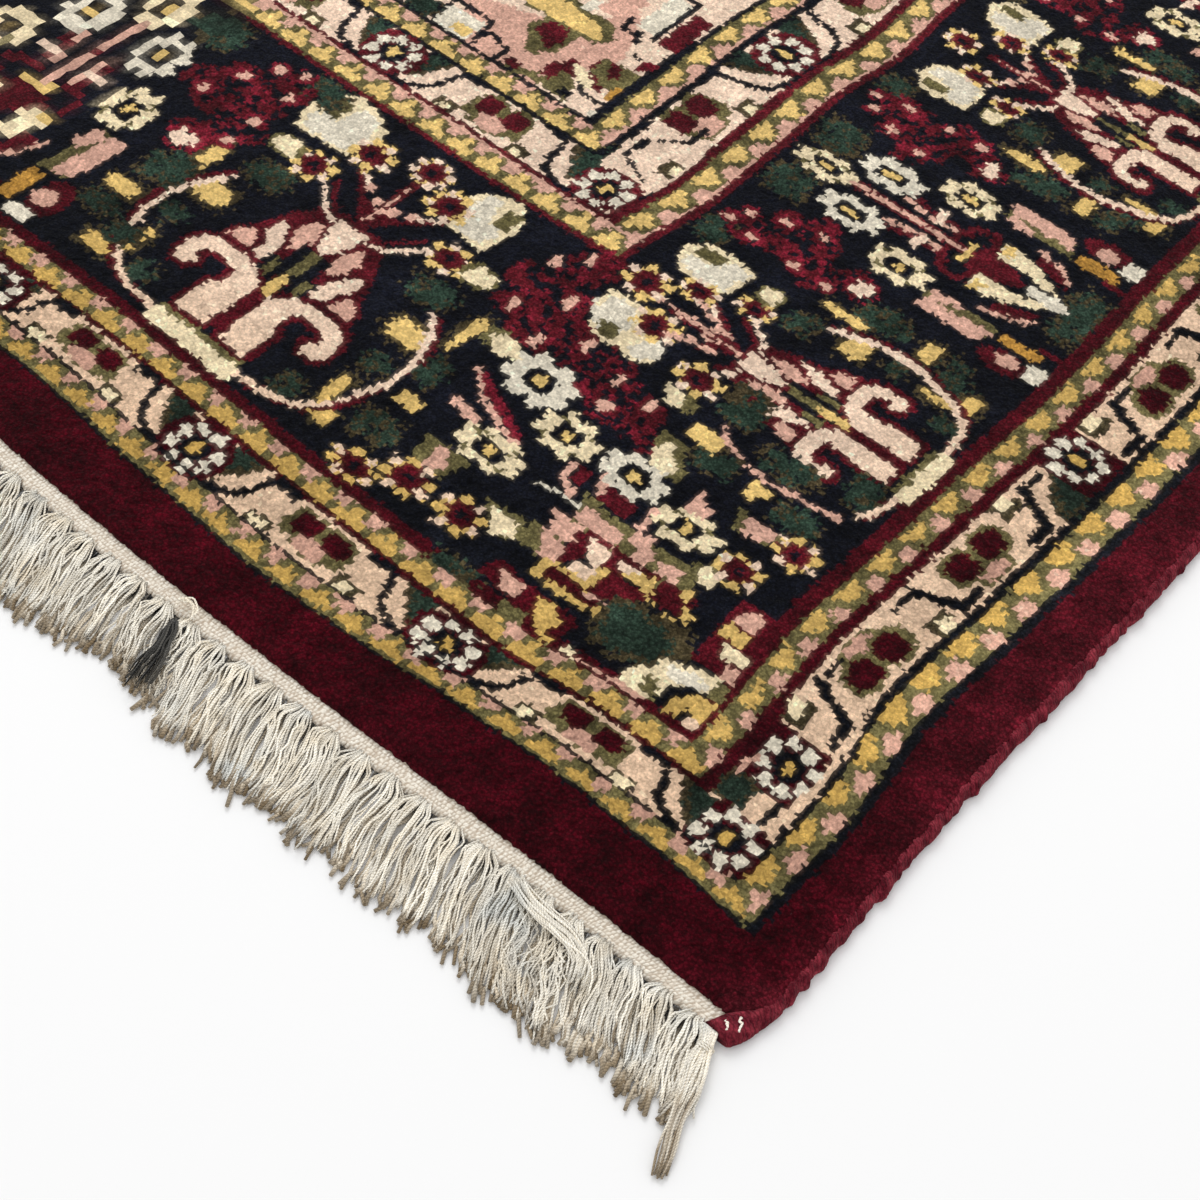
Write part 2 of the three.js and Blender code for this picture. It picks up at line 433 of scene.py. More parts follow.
def end_floral(pen, a, height, half):
    """One bend of the floral guard on an end border: lobes at a, and a vine out to half the pitch."""
    twin = Pen(pen.origin + a * pen.axes[0], pen.axes[0] * half / 76, pen.axes[1], twins=True)
    twin.shape("green", (46, height), (62, height), (62, height * 0.3), (54, height * 0.42))
    twin.line("brown", 3.4, (46, height * 0.96), (52, height * 0.6), (58, height * 0.3))
    twin.line("navy", 3.8, (22, height * 0.99), (36, height * 0.98), (39, height * 0.72))
    twin.line("navy", 3.8, (39, height * 0.72), (41, height * 0.4), (46, height * 0.16), (58, 0.4))
    twin.line("navy", 2.4, (58, 0.6), (76, 0.2))
    twin.block("brown", 19.5, height * 0.02, 32.5, height * 0.27)
    twin.block("cream", 22.5, 0, 29.5, height * 0.19)
    lobes(pen, a, height)


end_outer = Pen((0, 46))
guard_rosette(end_outer, 63, 11, 14, 13, 18)
for middle, half in ((135, 72), (284, 76), (436, 76)):
    end_floral(end_outer, middle, 22, half)
far_half = (half_width - 360) / 6
for bend in (3, 5):
    end_floral(end_outer, 360 + bend * far_half, 22, far_half)
for middle in (207, 360, 360 + 2 * far_half, 360 + 4 * far_half, half_width):
    guard_rosette(end_outer, middle, 9, 14.5, 12)
page.line("navy", 2.4, (150, 44.6), (half_width, 44.6))

# %% The floral guards along the sides and round the field
def crossing(pen, a, before, after, height):
    """A navy vine that runs along one edge, steps over in a row of dots and goes on along the other."""
    start, end = (0.16, 0.86) if before == "outer" else (0.86, 0.16)
    pen.line("navy", 4.2, (a - 20, height * start), (a - 5, height * start))
    for step in range(6):
        t = step / 5
        b = height * (start + (end - start) * t)
        pen.oval("navy", a - 6 + 9 * t, b, 3.2, 3.0)
    pen.line("navy", 4.2, (a + 3, height * end), (a + after, height * end))


def side_bends(pen, first, unit, height, turns):
    """Lobes and vine crossings along a side guard. Every other unit, rosette to rosette, is turned over."""
    for turn in range(turns):
        start = first + turn * unit
        part = unit / 230
        far, near = (0.94, 0.12) if turn % 2 == 0 else (0.12, 0.94)
        for offset, level in ((26, far), (107, near), (182, far)):
            a, b = start + offset * part, height * level
            edge = height if level > 0.5 else 0
            pen.block("brown", a - 7.5, edge, a + 7.5, abs(edge - 10))
            pen.block("cream", a - 4.2, edge, a + 5, abs(edge - 6.5))
            pen.block("beige", a + 5, edge, a + 7.5, abs(edge - 4))
        for offset, level in ((71, 0.42), (149, 0.6)):
            a = start + offset * part
            b = height * (level if turn % 2 == 0 else 1.05 - level)
            inner = b + 10.5 if (level < 0.5) == (turn % 2 == 0) else b - 10.5
            pen.oval("olive", a, inner, 12, 5, power=3)
            pen.oval("pink", a, inner, 9, 3.6, power=3)
            for side in (-1, 1):
                pen.oval("olive", a + side * 10.5, b, 11.5, 9.6, power=2.5)
            for side in (-1, 1):
                pen.oval("burgundy", a + side * 10, b, 8.2, 7.2, power=2.6)
        for offset, before in ((41, "outer"), (118, "inner"), (193, "outer")):
            other = {"outer": "inner", "inner": "outer"}
            side = before if turn % 2 == 0 else other[before]
            crossing(pen, start + offset * part, side, 16, height)
        green = Pen(pen.origin + (start + 206 * part) * pen.axes[0], pen.axes[0], pen.axes[1])
        if turn % 2:
            green = Pen(green.origin + height * green.axes[1], green.axes[0], -green.axes[1])
        green.shape("brown", (-12, 0), (-8, 12), (0, 17), (11, 25), (11, 0))
        green.shape("green", (-8, 1), (-5, 10), (2, 15), (11, 22), (11, 3))


side_outer = Pen((52, 0), (0, 1), (1, 0))
side_unit = (half_length - 331) / 4
side_bends(side_outer, 101, 230, 29, 1)
side_bends(side_outer, 331, side_unit, 29, 4)
for turn in range(5):
    a, b = 331 + turn * side_unit, 18 if turn % 2 == 0 else 13
    side_outer.block("burgundy", a - 15, 0, a + 15, 29)
    guard_rosette(side_outer, a, b, 13.5, 14, 15)
page.block("brown", 65, 70, 81, 86)
page.block("green", 68, 72, 80, 85)
page.block("beige", 53, 70, 67, 86)
page.block("navy", 55, 71, 58.5, 88)
page.block("burgundy", 52, 86, 81, 117)
guard_rosette(page, 65, 101, 13.5, 14, 16)
page.line("beige", 3.6, (51, 70), (51.5, 95), (50, 112), (52, 140))
page.line("pink", 2.2, (79, 84), (80, 92), (77, 97))
page.line("navy", 3, (47, 60), (47, 130))

inner_end = Pen((0, 300))
inner_half = (half_width - 342) / 6
for bend in (1, 3, 5):
    end_floral(inner_end, 342 + bend * inner_half, 30, inner_half)
for middle in (342 + 2 * inner_half, 342 + 4 * inner_half, half_width):
    guard_rosette(inner_end, middle, 15, 14, 14, 18)
inner_side = Pen((325, 0), (0, 1), (1, 0))
inner_side_half = (half_length - 315) / 12
for bend in range(1, 12, 2):
    end_floral(inner_side, 315 + bend * inner_side_half, 35, inner_side_half)
for turn in range(1, 7):
    guard_rosette(inner_side, 315 + 2 * turn * inner_side_half, 17, 14, 15, 18)
page.block("beige", 325, 300, 358, 330)
page.block("beige", 324, 330, 358, 376)
page.shape("green", (356, 330), (374, 330), (368, 318), (354, 314))
page.shape("brown", (370, 330), (375, 330), (369, 319), (365, 320))
page.line("navy", 2.6, (343, 301), (366, 302), (376, 305))
page.line("navy", 3.6, (335, 387), (335, 373))
page.line("navy", 2.4, (336, 372), (343, 367), (349, 362))
page.line("navy", 3.6, (352, 359), (353, 343))
page.line("navy", 2.4, (350, 341), (342, 337), (333, 333))
page.block("brown", 325, 343, 335, 357)
page.block("cream", 325, 346, 331, 355)
guard_rosette(page, 341, 315, 14, 13.5, 17)

# %% [markdown]
# The main border. Palmettes with a curled base, each inside a vine, alternate with lilies. A palmette stands
# on the outer line, fans out towards the field and carries two tulips and five small flowers.

# %% The palmette
vine = ((30, 7), (50, 9), (62, 14), (72, 25), (78, 40), (82, 52), (82, 66), (79, 78), (72, 92), (68, 98))


def palmette(pen):
    """One palmette on a pen with twins, so that a counts from its middle line."""
    for a, b, ra, rb in ((57, 110, 14, 10), (70, 58, 9, 7), (99, 38, 13, 7), (50, 18, 8, 9),
                         (100, 76, 9, 11)):
        leaf(pen, a, b, ra, rb)
    for a0, b0, a1, b1 in (
        (57, 75, 77, 88),
        (84, 87, 91, 113),
        (91, 50, 110, 58),
        (68, 14, 88, 22),
        (65, 24, 70, 42),
    ):
        a, b, ra, rb = (a0 + a1) / 2, (b0 + b1) / 2, (a1 - a0) / 2, (b1 - b0) / 2
        pen.oval("brown", a, b, ra + 3, rb + 3, power=4)
        pen.oval("gold", a, b, ra + 0.5, rb + 0.5, power=4)
    pen.line("burgundy", 5, *[(a + 3, b) for a, b in vine])
    pen.line("beige", 3.6, *vine)
    pen.block("olive", 0, 9.5, 27, 13)
    pen.block("cream", 0, 0.5, 28.5, 9.5)
    pen.shape("burgundy", (0, 60), (44, 64), (43, 72), (36, 82), (31, 96), (25, 106), (19, 117), (0, 118))
    pen.outlined("beige", "burgundy", 3.4, (5, 17), (24, 17), (24, 38), (20, 40), (20, 52), (28, 54),
                 (37, 53.5), (42, 50), (43, 46), (39, 46), (37, 42), (40, 38), (47, 37.5), (51, 42),
                 (50.5, 52), (48, 58), (40, 62), (24, 62), (14, 60), (5, 52))
    pen.block("burgundy", 0, 20, 4, 52)
    pen.block("navy", 27.5, 37, 33.5, 50)
    pen.outlined("pink", "burgundy", 2.4, (27, 67), (42, 66), (40, 74), (33, 79), (29, 74))
    pen.outlined("beige", "burgundy", 2.4, (13, 68), (18, 65), (24, 68), (25, 76), (30, 82), (28, 94),
                 (22, 88), (17, 79))
    pen.outlined("pink", "burgundy", 2.4, (8, 88), (13, 80), (17, 86), (20, 97), (15, 106), (9, 103))
    pen.outlined("beige", "burgundy", 2.4, (0, 90), (3, 90), (9, 104), (9.5, 115), (0, 115))
    pen.block("navy", 0, 64, 9.5, 88)
    pen.block("navy", 5, 60, 15.5, 73)
    pen.block("olive", 0, 68, 2.8, 88)
    pen.block("olive", 8, 60, 13, 72)
    pen.block("gold", 0, 50, 2.8, 67)
    pen.line("beige", 2.8, (13, 111), (20, 113), (30, 123), (38, 130))
    pen.line("burgundy", 3, (16, 116), (24, 124), (30, 132))


def tulip(pen, squeeze):
    """A pale tulip with a cream rim and an olive mark, beside the upper flowers."""
    a = np.array((0, 40, 76, 82, 62, 50)) * squeeze
    pen.shape("cream", (a[1], 149), (a[2], 147), (a[3], 168), (a[3] - 2, 178), (a[4] + 4, 188), (a[5], 184),
              (a[1] - 3, 176), (a[1] - 2, 164))
    pen.shape("pale", (a[1] + 5, 151), (a[2] - 4, 150), (a[3] - 5, 160), (a[4] + 6, 166), (a[4], 163),
              (a[4] - 4, 182), (a[5] - 4, 180), (a[1] + 1, 166))
    pen.block("olive", a[4] + 1, 165, a[4] + 12, 180)


def crown(pen, wide=1.0):
    """Half of the flowers over a palmette: its stem, small flowers and tulip. wide draws them in."""
    pen.line("burgundy", 5.5, (0, 116), (0, 160))
    pen.line("pink", 1.8, (0, 118), (0, 156))
    pen.shape("burgundy", (0, 114), (9, 124), (12, 134), (6, 133), (0, 130))
    pen.line("burgundy", 3.6, (8, 128), (18, 138), (28, 148))
    pen.spots("pink", 3, 3.4, (5.5, 136), (14.5, 141))
    pen.line("beige", 2.6, (18, 142), (26, 148))
    tulip(pen, wide)
    gold_rosette(pen, 47, 132, 13, 11)
    pen.oval("olive", 66, 133, 11, 8)
    pen.shape("cream", (58, 128), (66, 127), (75, 130), (73, 139), (62, 140))
    gold_rosette(pen, 31 * wide, 159, 13.5, 12)


# %% [markdown]
# The lily. It opens towards the outer line, on a long stem from the inner one, with five white flowers beside
# the stem, a pair of long pink buds beside the lily and a bush of small buds on either side.

# %% The lily
def lily(pen, spread=1.0):
    """One lily on a pen with twins."""
    for a, b, ra, rb in ((8, 10, 22, 10), (32, 172, 18, 14), (95, 80, 12, 14), (108, 176, 14, 11),
                         (112, 30, 10, 9)):
        leaf(pen, a, b, ra, rb)
    bush(pen, ((98, 126), (82, 106), (90, 148), (68, 154), (84, 128), (70, 132), (92, 166), (56, 138)), 12, 9)
    for a, b in ((97, 134), (98, 114), (77, 172), (67, 155), (60, 134), (96, 160), (90, 178)):
        bud(pen, a, b, 7, 6)
    pen.oval("rose", 82, 100, 12, 10, share=0.6)
    pen.shape("beige", (74, 96), (82, 93), (90, 99), (88, 105), (80, 103), (76, 106))
    pen.line("burgundy", 5.5, (0, 76), (0, 160))
    pen.line("pink", 2.0, (0.6, 72), (1, 96), (-0.6, 110), (0.8, 130), (-0.4, 156))
    pen.line("pink", 2.8, (14, 120), (9, 100), (12, 84))
    pen.line("burgundy", 3.4, (20, 118), (14, 100), (17, 80))
    pen.line("beige", 5, (22, 100), (10, 98))
    pen.line("burgundy", 4.2, (8, 86), (24, 82), (28, 70), (16, 66))
    pen.shape("burgundy", (0, 74), (13, 72), (15, 62), (7, 48), (0, 40))
    pen.shape("gold", (0, 73), (11, 75), (10, 79), (0, 77))
    pen.shape("cream", (11, 64), (25, 64), (27, 56), (24, 46), (14, 30), (7, 26), (6, 32), (11, 44))
    pen.shape("gold", (16, 62), (28, 64), (27, 58), (19, 56))
    pen.shape("burgundy", (16, 25), (28, 28), (36, 46), (26, 46))
    pen.line("pink", 2.2, (23, 24), (33, 34), (38, 50))
    pen.shape("pale", (0, 14), (7, 22), (4, 38), (0, 40))
    pen.shape("olive", (46, 34), (64, 38), (66, 74), (50, 76))
    pen.shape("pink", (54, 36), (66, 40), (68, 76), (56, 74), (56, 60), (54, 50))
    pen.shape("pink", (44, 58), (50, 56), (56, 72), (47, 74))
    pen.block("amber", 46, 8, 56, 32)
    pen.oval("burgundy", 70, 22, 10, 14)
    pen.oval("pink", 67, 21, 6.5, 6.5)
    pen.block("pale", 58, 1, 74, 10)
    pen.block("burgundy", 40, 0.5, 45, 14)
    white_rosette(pen, 46, 95, 16 * spread, 18, "cream", spotted=True)
    white_rosette(pen, 26, 135, 15 * spread, 20)


def lily_flower(pen):
    """The single flower at the end of a lily's stem."""
    white_rosette(pen, 0, 165, 14, 19, "cream", spotted=True)


# %% Palmettes and lilies along the borders
end_motifs = (half_width - 409) / 2
for place in (409, half_width):
    middle = Pen((place, 90), twins=True)
    palmette(middle)
    if place == 409:
        crown(Pen((place, 90)))
        crown(Pen((place, 90), (-1, 0)), 0.72)
    else:
        crown(middle)
    gold_rosette(middle, 0, 171, 13, 11)
lily(Pen((409 + end_motifs, 90), twins=True))
lily_flower(Pen((409 + end_motifs, 90)))

side_squeeze = 0.73
palmettes = (272, 548, 821, 1092)
lilies = (410, 685, 957, half_length)
for place in lilies:
    lily(Pen((109, place), (0, side_squeeze), (1, 0), twins=True))
    lily_flower(Pen((109, place), (0, side_squeeze), (1, 0)))
for place in palmettes:
    middle = Pen((107.5, place), (0, 0.66), (0.95, 0), twins=True)
    palmette(middle)
    crown(Pen((108, place), (0, 0.62), (0.95, 0)))
    crown(Pen((108, place), (0, -0.62), (0.95, 0)), 0.72 if place == palmettes[0] else 1)
    gold_rosette(Pen((109, place), (0, 0.8), (1, 0)), 0, 171, 13, 11)

# %% [markdown]
# The corner of the main border has a bent spray of its own: a small palmette that leans into the corner,
# five white flowers in a row, two gold ones and a bush of buds.

# %% The corner spray
page.shape("navy", (109, 90), (330, 90), (322, 180), (300, 277), (109, 228))
for a, b, ra, rb in (
    (197, 248, 13, 13),
    (160, 233, 16, 9),
    (187, 213, 12, 9),
    (139, 210, 13, 8),
    (127, 247, 9, 10),
    (318, 162, 8, 10),
    (312, 120, 13, 9),
    (232, 88, 14, 5),
):
    leaf(page, a, b, ra, rb)

bush(page, ((312, 258), (300, 240), (288, 224), (316, 222), (300, 214), (306, 272), (322, 240)), 13, 10)
bush(page, ((270, 214), (252, 222), (232, 212), (246, 203), (278, 232), (262, 206), (222, 200)), 12, 8)
for a, b in ((310, 270), (323, 258), (300, 241), (319, 221), (275, 225), (296, 211), (251, 219), (230, 217)):
    page.oval("pink", a, b, 2.6, 5)
page.oval("pink", 246, 202, 3.6, 3.6)

page.line("rose", 5, (300, 177), (262, 160))
page.line("pink", 3, (304, 178), (292, 168), (272, 159), (258, 156))
page.shape("pink", (299, 160), (284, 157), (278, 150), (292, 153), (298, 154))
page.line("pink", 3.4, (232, 166), (232, 158), (222, 152))
page.block("burgundy", 222, 158, 229, 168)
page.block("burgundy", 194, 158, 212, 168)
page.line("pink", 4, (217, 171), (213, 162))
page.line("pink", 4.4, (187, 172), (186, 160))
page.line("pale", 2, (238, 147), (228, 149), (214, 149))

white_rosette(page, 278, 193, 21, 15)
white_rosette(page, 246, 177, 18, 12.5, "cream", spotted=True)
white_rosette(page, 208, 180, 19, 12.5)
white_rosette(page, 171, 173, 18, 11, "cream", spotted=True)
white_rosette(page, 266, 146, 20, 11, "cream", spotted=True)
page.shape("olive", (318, 204), (308, 207), (306, 193), (317, 192))
page.shape("cream", (314, 198), (308, 205), (300, 205), (292, 196), (306, 190))
page.shape("olive", (216, 203), (216, 210), (200, 210), (198, 203), (192, 197), (192, 190), (204, 194))
page.shape("cream", (211, 207), (205, 207), (204, 203), (195, 196), (199, 190), (209, 192), (212, 199))
page.shape("pink", (179, 196), (175, 190), (168, 190), (168, 182), (179, 182))

# %% [markdown]
# The small palmette of the corner, with its burgundy core, its pink and olive petals above, the dark green
# leaf below and the pale arch that fills the corner itself.

# %% The corner palmette
page.shape("olive", (218, 158), (150, 156), (150, 141), (226, 130), (222, 118), (202, 118))
for a0, b0, a1, b1 in ((188, 143, 213, 152), (172, 143, 180, 154), (155, 143, 166, 152),
                       (176, 150, 186, 158)):
    page.block("pink", a0, b0, a1, b1)
page.shape("pink", (223, 142), (202, 142), (200, 132), (216, 131))
page.shape("pink", (220, 131), (204, 129), (200, 120), (210, 118))
page.block("burgundy", 162, 140, 202, 143)
page.shape("burgundy", (206, 141), (199, 141), (195, 129), (202, 120), (204, 130))
page.shape("beige", (199, 140), (189, 140), (181, 133), (188, 129), (194, 131))
page.block("burgundy", 175, 132, 186, 140)
page.block("beige", 170, 135.5, 182, 140.5)
page.shape("gold", (172, 139), (164, 142), (160, 136), (155, 130), (160, 128), (166, 134), (175, 134))
page.shape("burgundy", (182, 133), (164, 133), (158, 128), (168, 124), (176, 117), (183, 117))
page.block("gold", 181.5, 116, 187, 132)
page.block("beige", 187, 119, 196, 127)
page.block("gold", 184, 117.5, 202, 120.5)
page.block("burgundy", 175, 111, 203, 117.5)
page.block("gold", 202, 108, 208, 120)
page.block("gold", 176, 107.5, 207, 110.8)
page.line("pink", 2, (183, 116), (172, 116.5))
page.oval("gold", 172, 112, 3.4, 2.4)
page.block("burgundy", 143, 130, 160, 144.5)
page.block("gold", 145, 140.5, 150, 147)
page.shape("gold", (145, 138), (141, 138), (139, 131), (144, 130))
page.block("gold", 144, 126, 150, 129.5)
page.shape("brown", (172, 124), (158, 127), (150, 126), (136, 130), (126, 118), (136, 100), (160, 96),
           (172, 104))
page.shape("green", (168, 122), (150, 123), (134, 117), (140, 103), (160, 98), (168, 106))
page.block("burgundy", 103, 118, 128, 158)
page.block("pink", 113, 146, 125, 156)
page.block("gold", 112, 135.5, 126, 143.5)
page.block("cream", 107, 127.5, 119.5, 133.5)
page.block("pink", 106.5, 117, 113.5, 126)
page.shape("cream", (143, 87), (144, 97), (138, 102), (136, 109), (130, 112), (118, 116), (109, 118),
           (109, 108), (126, 100), (127, 88))
page.shape("pale", (132, 109), (118, 113), (113, 109), (124, 103), (131, 103))
page.block("olive", 104.5, 106, 111, 116)
page.shape("olive", (137, 97), (129, 98), (126, 92), (128, 88.5), (136, 91))
page.shape("navy", (126.5, 88), (126.5, 100), (119, 105), (112, 107), (119, 88))
page.shape("gold", (121, 88), (121, 97), (114, 104), (105, 105), (105, 92), (113, 88))
page.block("navy", 109, 88, 114, 94)
page.block("beige", 105, 87.5, 111, 93)
page.block("burgundy", 109, 84, 176, 87)
page.line("pink", 2.2, (161, 85.6), (130, 87))
page.shape("burgundy", (222, 104), (176, 103), (174, 90), (200, 90), (224, 94))
page.shape("pink", (218, 102), (202, 101), (203, 94), (212, 93))
page.shape("gold", (197, 102), (187, 101), (180, 97), (181, 90), (190, 90))
page.shape("gold", (186, 91), (176, 88), (177, 85.5), (185, 86))
page.shape("olive", (208, 90), (193, 90), (191, 84), (204, 84))
page.shape("cream", (171, 90), (166, 89), (165, 84), (170, 85))

# %% The corner's gold flowers and its tulip
for a, b, ra, rb in (
    (281, 278, 13, 12),
    (260, 258, 13, 11),
    (224, 245, 13, 10),
    (139, 169, 12, 10),
    (126, 194, 12, 10),
    (281, 109, 14, 11),
    (250, 110, 13, 10.5),
    (303, 97, 14, 9),
):
    # the corner's large pale tulip lies under this flower and over the one before
    if (a, b) == (260, 258):
        page.shape("pale", (290, 262), (272, 262), (264, 252), (252, 250), (246, 248), (248, 238),
                   (256, 232), (264, 236), (272, 233), (284, 236), (292, 250))
        page.line("cream", 3.4, (290, 250), (289, 261), (272, 261), (266, 251))
        page.line("cream", 3, (248, 238), (256, 233), (264, 237), (272, 234), (284, 237))
        page.shape("cream", (268, 252), (258, 250), (262, 236), (270, 236))
        page.shape("olive", (281, 244), (273, 246), (269, 238), (272, 235), (280, 236))
    gold_rosette(page, a, b, ra, rb)
page.shape("olive", (220, 238), (212, 232), (216, 224), (226, 226))
page.shape("cream", (235, 235), (222, 233), (219, 225), (228, 224))
page.shape("olive", (158, 160), (146, 164), (142, 152), (150, 151))
page.shape("cream", (153, 162), (143, 160), (141, 153), (150, 151.5))
page.shape("olive", (162, 200), (154, 198), (136, 198), (140, 188), (156, 187))
page.shape("pink", (156, 197), (140, 198), (138, 189), (152, 188))
page.shape("olive", (292, 134), (266, 134), (270, 120), (290, 120))
page.shape("pink", (285, 132), (278, 133), (272, 122), (282, 118))
page.shape("olive", (250, 126), (226, 127), (222, 118), (228, 112), (240, 116))
page.shape("cream", (244, 124), (228, 125), (225, 117), (234, 111), (240, 118))
page.block("gold", 306, 138, 319, 146)
page.block("gold", 190, 216, 207, 225)
page.shape("gold", (167, 217), (155, 216), (155, 211), (161, 210), (161, 205), (167, 206))
page.line("pink", 2.4, (197, 233), (192, 226), (178, 222), (160, 219.5), (140, 222), (126, 224))
page.line("pink", 2.6, (222, 272), (244, 272.5), (268, 274))
page.line("pink", 2.4, (228, 264), (240, 262), (256, 257))
page.line("pink", 2.4, (230, 277), (246, 282), (256, 287))

# %% [markdown]
# The field. Only its very corner shows in the photograph, as light ground with leaves and blossom. The rest
# is finished with a plain allover repeat of small flowers in the same silks.

# %% The field's ground and its allover flowers
border = cartoon.copy()
field = Pen((383, 350))
field_across, field_along = (half_width - 383) / 4.5, (half_length - 350) / 9.5
for line in range(11):
    for column in range(6):
        a = (column + (0.5 if line % 2 else 0)) * field_across
        b = line * field_along
        kind = (line + 2 * column) % 3
        leaf(field, a - 20, b + 22, 12, 8)
        leaf(field, a + 22, b - 20, 12, 8)
        field.line("navy", 2.4, (a - 26, b - 30), (a - 10, b - 16), (a, b), (a + 14, b + 18),
                   (a + 30, b + 30))
        field.oval("olive", a + 30, b + 32, 7, 6)
        field.oval("gold", a + 30, b + 32, 4.5, 4)
        if kind == 0:
            field.oval("olive", a, b, 21, 17)
            petals(field, "pink", a, b, 20, 17)
            field.oval("burgundy", a, b, 11, 9)
            field.oval("gold", a, b, 4, 3.5)
        elif kind == 1:
            field.oval("navy", a, b, 19, 16)
            petals(field, "pale", a, b, 17, 14)
            field.oval("rose", a, b, 8, 7)
        else:
            field.oval("burgundy", a, b, 18, 15)
            petals(field, "gold", a, b, 16, 13)
            field.oval("navy", a, b, 6, 5)
        bud(field, a - 32, b - 2, 6, 7)
first_row, first_column = int(350 / knot_y), int(383 / knot_x)
cartoon[:first_row] = border[:first_row]
cartoon[:, :first_column] = border[:, :first_column]

# %% The corner of the field
page.shape("beige", (383, 350), (530, 350), (530, 470), (383, 520))
page.shape("pink", (420, 350), (470, 350), (500, 380), (440, 400), (420, 440), (400, 400))
page.shape("olive", (400, 352), (444, 350), (430, 357), (412, 361))
page.shape("olive", (422, 369), (412, 369), (402, 361), (418, 358))
for a0, b0, a1, b1 in ((418, 360, 426, 372), (416, 370, 422, 381), (404, 381, 411, 391),
                       (436, 352, 444, 358)):
    page.block("burgundy", a0, b0, a1, b1)
page.shape("olive", (409, 394), (384, 396), (386, 376), (398, 372), (409, 382))
page.shape("burgundy", (405, 394), (397, 394), (394, 384), (399, 382))
page.shape("burgundy", (405, 380), (394, 373), (392, 369), (408, 368), (416, 371))
page.shape("cream", (418, 379), (407, 378), (398, 369), (402, 365), (412, 371))
page.block("amber", 384, 367, 389, 381)
page.line("navy", 3.4, (384, 350), (384, 440))
page.line("navy", 3, (386, 364), (398, 362), (404, 366))
page.block("navy", 402, 353, 410, 359)
page.block("pale", 383.5, 351, 388, 356)
page.shape("olive", (456, 420), (424, 418), (414, 408), (418, 398), (470, 396))
page.shape("gold", (470, 418), (426, 411), (419, 404), (424, 400), (470, 398))
page.shape("olive", (454, 398), (430, 398), (430, 376), (444, 370), (456, 384))
page.shape("burgundy", (450, 396), (438, 398), (433, 388), (436, 375), (444, 382), (451, 384))
page.shape("olive", (446, 374), (440, 376), (436, 368), (443, 366))
page.line("navy", 3.6, (420, 430), (418, 420), (408, 421))
page.block("navy", 403, 413, 408, 419)
page.line("navy", 2.6, (400, 407), (392, 404))
page.shape("rose", (392, 408), (384, 410), (385, 402), (392, 396))
page.block("pale", 402, 426, 416, 462)
page.line("navy", 3.4, (400, 424), (400, 466), (418, 466))
page.block("burgundy", 384, 424, 397, 458)
page.block("navy", 383, 408, 386, 424)
page.block("pale", 440, 416, 447, 428)
page.line("navy", 3.2, (449, 350), (449, 360), (462, 365), (490, 352))
page.block("pale", 470, 350, 496, 368)
page.block("gold", 472, 351, 484, 360)
page.line("navy", 3, (496, 350), (498, 372), (470, 372), (466, 352))
leaf(page, 508, 357, 12, 8)
page.shape("pink", (424, 424), (440, 422), (436, 450), (420, 446))

# %% [markdown]
# The cartoon becomes knots. Tufts lean over their neighbours, so along an edge between two colours some knots
# show the colour of the knot beside them. Without this the pattern looks printed.

# %% The whole rug's knots
# How many knots away a knot may take its colour: from any neighbour, and within the dark leaves
misread, misread_in_leaves = 0.34, 1.1
chance = np.random.default_rng(7)
whole = np.block([[cartoon, cartoon[:, ::-1]], [cartoon[::-1], cartoon[::-1, ::-1]]])
knot_width, knot_length = rug_width / (2 * columns), pile_length / (2 * rows)
row_read = np.arange(2 * rows)[:, None] + np.rint(chance.normal(0, misread, whole.shape)).astype(int)
column_read = np.arange(2 * columns)[None] + np.rint(chance.normal(0, misread, whole.shape)).astype(int)
row_read, column_read = np.clip(row_read, 0, 2 * rows - 1), np.clip(column_read, 0, 2 * columns - 1)
knots = whole[row_read, column_read]
row_read = row_read + np.rint(chance.normal(0, misread_in_leaves, whole.shape)).astype(int)
column_read = column_read + np.rint(chance.normal(0, misread_in_leaves, whole.shape)).astype(int)
row_read, column_read = np.clip(row_read, 0, 2 * rows - 1), np.clip(column_read, 0, 2 * columns - 1)
dark = [dye[name] for name in ("navy", "green", "brown")]
both_dark = np.isin(knots, dark) & np.isin(whole[row_read, column_read], dark)
knots = np.where(both_dark, whole[row_read, column_read], knots)
print("the rug has", knots.shape[1], "knots across and", knots.shape[0], "along")

# %% [markdown]
# The pile. Every knot is a small tuft, so in the photographed corner every knot has a face of its own, with
# its corners pushed about a little and its height a little uneven. Further away one face stands for three
# knots each way. The pile is made in several pieces, each of them a grid that is pulled down at its rim and
# closed below, and together they cover the ground cloth without a gap.

# %% Unevenness of the weave
grid_shape = (2 * rows + 1, 2 * columns + 1)
push, most_push = 0.24, 0.45
push_x = np.clip(chance.normal(0, push, grid_shape), -most_push, most_push) * knot_width
push_y = np.clip(chance.normal(0, push, grid_shape), -most_push, most_push) * knot_length
tuft_height = np.clip(chance.normal(0, 0.00022, grid_shape), -0.0005, 0.0004)

